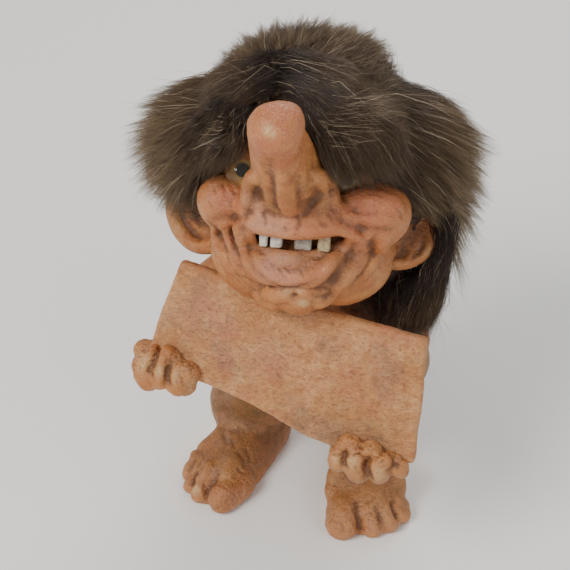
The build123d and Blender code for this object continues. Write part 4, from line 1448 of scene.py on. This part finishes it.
def nearest_of(places, seeds):
    """Which seed is nearest to each place."""
    found = np.empty(len(places), int)
    for start in range(0, len(places), BLOCK):
        block = places[start : start + BLOCK]
        off = (block**2).sum(1)[:, None] - 2 * block @ seeds.T + (seeds**2).sum(1)[None]
        found[start : start + BLOCK] = off.argmin(1)
    return found


def pale_tints(count, random):
    return 0.94 + 0.06 * random.random(count)


def clear_of_skin(line, which, gap):
    """Lifts the chosen hairs' points that sink into the head or body skin."""
    for skin in (head, body):
        for ring in range(1, line.shape[0]):
            for i in which:
                place = Vector(line[ring, i] * MM)
                found, spot, out, _ = skin.piece.closest_point_on_mesh(place, distance=SKIN_REACH)
                if found and (place - spot).dot(out) < gap * MM:
                    line[ring, i] = np.array(spot + out * gap * MM) / MM


def photo_of(places):
    """Each place's two photo steps, and how far it is from the camera."""
    off = places * MM - np.array(EYE_POINT)
    far = off @ -np.array(BACK)
    across, down = off @ np.array(RIGHT), -(off @ np.array(UP))
    half = PHOTO_WIDTH / 2
    return half + FOCAL_PIXELS * across / far, half + FOCAL_PIXELS * down / far, far


def within(x, y, marks):
    """Whether each place on the photograph lies inside the closed line of marks."""
    found = np.zeros(x.shape, bool)
    for (ax, ay), (bx, by) in zip(marks, marks[1:] + marks[:1]):
        crosses = (ay > y) != (by > y)
        found ^= crosses & (x < ax + (y - ay) * (bx - ax) / (by - ay + 1e-9))
    return found


def over_the_ear(line):
    """The hairs that would hang in front of the left ear, which the photograph shows bare."""
    filled = [line[:-1] * (1 - w) + line[1:] * w for w in (0, 0.25, 0.5, 0.75)]
    x, y, far = photo_of(np.concatenate([*filled, line[-1:]]))
    _, place, _, _ = head.piece.ray_cast(EYE_POINT, sight(*EAR_MARK))
    ear_far = (place - EYE_POINT).dot(-BACK)
    return (within(x, y, BARE_EAR) & (far < ear_far + EAR_COVER * MM)).any(0)


def fur_surface(centre, count, random):
    """Places on the outside of the wig's hair, where the tips of the fur end."""
    points, faces = points_of("wig_hair")
    middles = points[faces].mean(1)
    a, b, c = (points[faces[:, k]] for k in range(3))
    from_middle = middles - centre
    distance = np.linalg.norm(from_middle, axis=1)
    facing = (from_middle * unit(np.cross(b - a, c - a))).sum(1) / distance
    outside = (facing > -0.2) & (distance > SCALP_RADIUS + 2.0)
    return scattered(points, faces, outside, count, random)


def on_scalp(out, centre):
    """The place on the wig's skin nearest to where each direction leaves the skull."""
    tree = tree_of("wig_backing")
    return np.array([tree.find_nearest(Vector(place))[0] for place in centre + out * SCALP_RADIUS])


def combed_roots(tips, messy, centre, random):
    """Where each hair leaves the wig's skin: upstream of its tip, towards the parting."""
    out = unit(tips - centre)
    turn = FLOW_DEGREES + 10 * lumps(tips, 9.0, 101) + random.normal(0, 4, HAIR_COUNT)
    turn = turn - 16 * messy - 9 * fade(out[:, 2], 0.55, 0.85)
    jitter = random.normal(0, 0.045, tips.shape) * (1 + 2.4 * messy)[:, None]
    scalp = unit(upstream(out, parting(), np.clip(turn, 0, None)) + jitter)
    return on_scalp(scalp, centre)


def cut_tips(tips, roots, out, clump, centre, random):
    """The tips after cutting: shorter at the trims, ragged low down, hanging by the left ear."""
    share = 0.80 + 0.20 * random.random(HAIR_COUNT) + 0.12 * lumps(tips, 5.0, 111)
    share += 0.22 * random.random(CLUMPS)[clump]
    x, y, _ = photo_of(tips)
    for spot_x, spot_y, reach, less in TRIMS:
        share -= less * np.exp(-((x - spot_x) ** 2 + (y - spot_y) ** 2) / reach**2)
    in_front = fade(-out[:, 1], 0.45, 0.8)
    share += in_front * 0.35 * random.random(HAIR_COUNT) ** 2
    tips = roots + (tips - roots) * share[:, None]
    tips[:, 2] -= 2.0 * in_front * random.random(HAIR_COUNT)
    x, y, _ = photo_of(tips)
    low_down = fade(centre[2] - tips[:, 2], 18, 34)
    ragged = 3.5 * np.abs(random.normal(0, 1, HAIR_COUNT)) ** 1.5
    tips[:, 2] -= low_down * (ragged + 3.0 * lumps(tips, 7.0, 151))
    hanging = fade(x, 366, 386) * fade(y, 230, 296)
    return tips + hanging[:, None] * HANG * (0.5 + 0.6 * random.random(HAIR_COUNT))[:, None]


def grow_wig():
    random = np.random.default_rng(WIG_SEED)
    centre = head_centre()
    tips = fur_surface(centre, HAIR_COUNT, random)
    out = unit(tips - centre)
    messy = random.random(HAIR_COUNT) < MESSY_SHARE
    roots = combed_roots(tips, messy, centre, random)
    seeds = tips[random.choice(HAIR_COUNT, CLUMPS, replace=False)]
    clump = nearest_of(tips, seeds)
    gather = (0.30 + 0.50 * random.random(HAIR_COUNT)) * np.where(messy, 0.1, 1.0)
    tips += (seeds[clump] - tips) * gather[:, None]
    tips = cut_tips(tips, roots, out, clump, centre, random)
    reach = np.linalg.norm(tips - roots, axis=1)
    tint = 0.5 * random.random(HAIR_COUNT) + 0.35 * random.random(CLUMPS)[clump]
    stray = random.random(HAIR_COUNT) < STRAY_SHARE
    tips[stray] += random.normal(0, 2.4, tips.shape)[stray]
    tint[stray] = pale_tints(stray.sum(), random)
    rise = unit(roots - centre) * (0.30 * np.minimum(reach, 24))[:, None]
    knees = roots + 0.30 * (tips - roots) + rise + random.normal(0, 0.8, tips.shape)
    from_parting = np.degrees(np.arccos(np.clip(out @ parting(), -1, 1)))
    edge = fade(np.linalg.norm(tips - centre, axis=1), SCALP_RADIUS + 4, SCALP_RADIUS + 18)
    bright = 0.05 + 0.30 * fade(from_parting, 35, 95) + 0.55 * edge + 0.3 * lumps(tips, 14.0, 121)
    bright = np.clip(bright + 0.25 * messy + 0.25 * (random.random(HAIR_COUNT) - 0.5), 0, 1)
    width = 0.065 + 0.035 * random.random(HAIR_COUNT)
    line = hair_lines(roots, knees, tips, WIG_RINGS)
    line[1:WIG_RINGS] += random.normal(0, 0.25, (WIG_RINGS - 1, HAIR_COUNT, 3))
    low, high = (np.array(corner / MM) for corner in CAD_BOX)
    line = np.clip(line, low - STRAY_REACH, high + STRAY_REACH)
    front = np.nonzero((tips[:, 1] < centre[1] - 10) & (tips[:, 2] < centre[2] + 34))[0]
    clear_of_skin(line, front, SKIN_GAP)
    order = np.argsort(np.arctan2(out[:, 0], -out[:, 1]), kind="stable")
    order = order[~over_the_ear(line)[order]]
    for k, start in enumerate(range(0, len(order), PER_PIECE)):
        part = order[start : start + PER_PIECE]
        name = f"wig_fur_{k + 1}"
        strands(name, line[:, part], width[part], tint[part], bright[part], FUR)
    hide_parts("wig_hair")


# Locks laid over the brow, crown and nape. Each guide runs from its root to its tip.

FRINGE_LEFT = (
    ((238, 90), (208, 110), (182, 140), (172, 172)),
    ((246, 95), (224, 120), (202, 148), (186, 178)),
    ((252, 98), (238, 122), (222, 150), (205, 176)),
    ((255, 96), (239, 126), (234, 150), (222, 172)),
    ((256, 96), (242, 128), (240, 146), (235, 161)),
)
CROWN_LEFT = (
    ((288, 58), (256, 60), (224, 70), (196, 86)),
    ((290, 68), (258, 72), (226, 86), (198, 106)),
    ((290, 80), (260, 86), (232, 102), (206, 124)),
    ((286, 90), (256, 94), (234, 112), (216, 134)),
)
CROWN_RIGHT = (
    ((272, 90), (305, 100), (328, 122), (346, 146)),
    ((268, 84), (304, 90), (338, 102), (366, 122)),
    ((268, 72), (306, 74), (344, 82), (376, 96)),
    ((266, 60), (302, 56), (334, 60), (362, 72)),
)
CROSSING = (
    ((304, 101), (332, 99), (362, 96), (392, 94)),
    ((308, 114), (338, 110), (370, 106), (402, 102)),
    ((309, 126), (340, 123), (374, 120), (406, 120)),
    ((311, 138), (340, 142), (368, 152), (396, 168)),
)
CROSSING_LEFT = (
    ((238, 112), (216, 116), (194, 116), (170, 110)),
    ((238, 130), (214, 138), (192, 143), (166, 141)),
    ((236, 144), (214, 154), (192, 163), (168, 167)),
)
NAPE = (
    ((444, 196), (450, 236), (444, 284), (430, 338)),
    ((442, 232), (438, 268), (428, 306), (416, 342)),
    ((434, 260), (424, 286), (412, 314), (403, 342)),
    ((416, 276), (406, 296), (398, 318), (392, 338)),
    ((402, 282), (396, 298), (390, 314), (385, 330)),
)
FRINGE_RIGHT = (
    ((300, 95), (312, 124), (321, 150), (334, 180)),
    ((300, 94), (318, 122), (334, 152), (347, 189)),
    ((299, 96), (324, 116), (352, 148), (372, 188)),
    ((300, 93), (334, 110), (370, 140), (397, 184)),
    ((302, 90), (346, 100), (392, 124), (416, 172)),
)
FRINGE_LIFT = (2.5, 5.0, 4.5, 3.5)  # millimetres over the skin at each mark
FRINGE_ROOT_SINK = 5.0
FRINGE_SPREAD = np.array([1.6, 1.3, 1.1, 1.3])  # millimetres that hairs stray at each mark
FRINGE_RINGS = 4
HAIRS_PER_LOCK = 26
NOSE_REACH = 45.0  # a place on the skin this far from the head's middle is on the nose
LOCKS = {  # guides, how many hairs, seed and the share of pale hairs
    "fringe_fur_left": (FRINGE_LEFT, 2200, 21, 0.07),
    "fringe_fur_right": (FRINGE_RIGHT, 3800, 22, 0.07),
    "crown_fur_left": (CROWN_LEFT, 2600, 23, 0.07),
    "crown_fur_right": (CROWN_RIGHT, 2800, 24, 0.07),
    "crossing_fur_right": (CROSSING, 420, 25, 0.5),
    "crossing_fur_left": (CROSSING_LEFT, 300, 26, 0.4),
    "nape_fur": (NAPE, 4200, 27, 0.07),
}


def guide_places(marks, hair_tree):
    """A lock's places in space: on the fur or over the skin, whichever the camera meets first."""
    eye, fars = Vector(EYE_POINT) / MM, []
    for (x, y), lift in zip(marks, FRINGE_LIFT):
        way = sight(x, y)
        met = hair_tree.ray_cast(eye, way)[0]
        found = [] if met is None else [(met - eye).length]
        for skin in (head, body):
            hit, place, _, _ = skin.piece.ray_cast(EYE_POINT, way)
            on_nose = (place / MM - Vector(head_centre())).length > NOSE_REACH and skin is head
            found += [(place / MM - eye).length - lift] if hit and not on_nose else []
        fars.append(min(found) if found else fars[-1])
    fars[0] += FRINGE_ROOT_SINK
    fars[3] = min(fars[3], (fars[2] + fars[3]) / 2)
    return np.array([tuple(eye + sight(x, y) * far) for (x, y), far in zip(marks, fars)])


def grow_fringe(name, guides, count, seed, pale):
    random = np.random.default_rng(seed)
    hair = tree_of("wig_hair")
    held = np.stack([guide_places(marks, hair) for marks in guides])
    across = random.random(count) * (len(guides) - 1)
    first = across.astype(int)
    beside = (across - first)[:, None, None]
    places = (1 - beside) * held[first] + beside * held[first + 1]
    places += random.normal(0, 1, places.shape) * FRINGE_SPREAD[None, :, None]
    seeds = places[random.choice(count, count // HAIRS_PER_LOCK, replace=False), 3]
    lock = nearest_of(places[:, 3], seeds)
    gather = 0.25 + 0.5 * random.random(count)
    places[:, 3] += (seeds[lock] - places[:, 3]) * gather[:, None]
    ends = (0.45 + 0.75 * random.random(count))[:, None]
    places[:, 3] = places[:, 2] + (places[:, 3] - places[:, 2]) * ends
    line = lock_lines(places, FRINGE_RINGS)
    clear_of_skin(line, range(count), LOCK_GAP)
    tint = 0.5 * random.random(count) + 0.25 * random.random(len(seeds))[lock]
    light = random.random(count) < pale
    tint[light] = pale_tints(light.sum(), random)
    width = (0.055 + 0.03 * random.random(count)) * np.where(light, 0.8, 1.0)
    bright = 0.05 + 0.35 * random.random(count)
    strands(name, line, width, tint, bright, FUR)


def wig_pelt():
    """The wig's fabric and its thick under-fur: the hair solid drawn in towards the head."""
    pelt = copy_of("wig_hair")
    pelt.name = pelt.data.name = "wig_under_fur"
    apply_modifier(pelt, "REMESH", mode="VOXEL", voxel_size=VOXEL["wig_under_fur"] * MM)
    pelt = outer_shell(pelt)
    clay = Clay(pelt)
    centre = head_centre()
    from_middle = clay.points - centre
    distance = np.linalg.norm(from_middle, axis=1)
    drawn = SCALP_RADIUS + (distance - SCALP_RADIUS) * PELT_SHARE - PELT_SINK
    clay.points = centre + from_middle * (drawn / distance)[:, None]
    clay.store()
    clay.push(0.8 * lumps(clay.points, 3.0, 131))
    pelt.data.materials.append(UNDER_FUR)
    pelt.data.shade_smooth()
    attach(pelt, "root")
    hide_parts("wig_backing")


def grow_tuft():
    """The tuft at the tail's end: hairs from the tail's tip, round a core of under-fur."""
    random = np.random.default_rng(TUFT_SEED)
    count = TUFT_HAIRS
    points, faces = points_of("tail_tuft")
    low, high = points.min(0), points.max(0)
    centre = (low + high) / 2
    tail_points, _ = points_of("tail")
    end = tail_points[np.argmin(np.linalg.norm(tail_points - centre, axis=1))]
    ends = scattered(points, faces, np.ones(len(faces), bool), count, random)
    roots = end + unit(random.normal(0, 1, (count, 3))) * 2.2
    down = unit(centre[None] - end[None])[0]
    longer = down * (1 + 3 * random.random(count))[:, None]
    tips = ends + longer + random.normal(0, 0.5, (count, 3))
    tips[:, 2] = np.maximum(tips[:, 2], low[2] - 3)
    knees = (roots + tips) / 2 + unit(ends - centre) * 1.5
    tint = 0.8 * random.random(count)
    line = hair_lines(roots, knees, tips, WIG_RINGS)
    piece = strands("tail_tuft_fur", line, np.full(count, 0.10), tint, random.random(count), FUR)
    core = copy_of("tail_tuft")
    core.name = core.data.name = "tail_tuft_core"
    apply_modifier(core, "REMESH", mode="VOXEL", voxel_size=VOXEL["tail_tuft_core"] * MM)
    clay = Clay(outer_shell(core))
    clay.push(-1.6 + 0.5 * lumps(clay.points, 2.0, 141))
    clay.piece.data.materials.append(UNDER_FUR)
    clay.piece.data.shade_smooth()
    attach(clay.piece, "root")
    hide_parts("tail_tuft")


wig_pelt()
grow_wig()
for name, settings in LOCKS.items():
    grow_fringe(name, *settings)
grow_tuft()


# Stage


def lay_floor():
    bpy.ops.mesh.primitive_plane_add(size=FLOOR_WIDTH, location=(0, 0, -FLOOR_DROP))
    floor = bpy.context.object
    floor.name = "pale_floor"
    made, tree, shader = new_material("pale_floor_paint")
    soft = noise(tree, object_place(tree), 3.0, 2.0)
    coat = blend(tree, soft, colour(240, 238, 234, 1.0), colour(245, 243, 240, 1.0))
    fill(tree, shader, {"Base Color": coat, "Roughness": 0.9})
    floor.data.materials.append(made)


lay_floor()
light_studio()
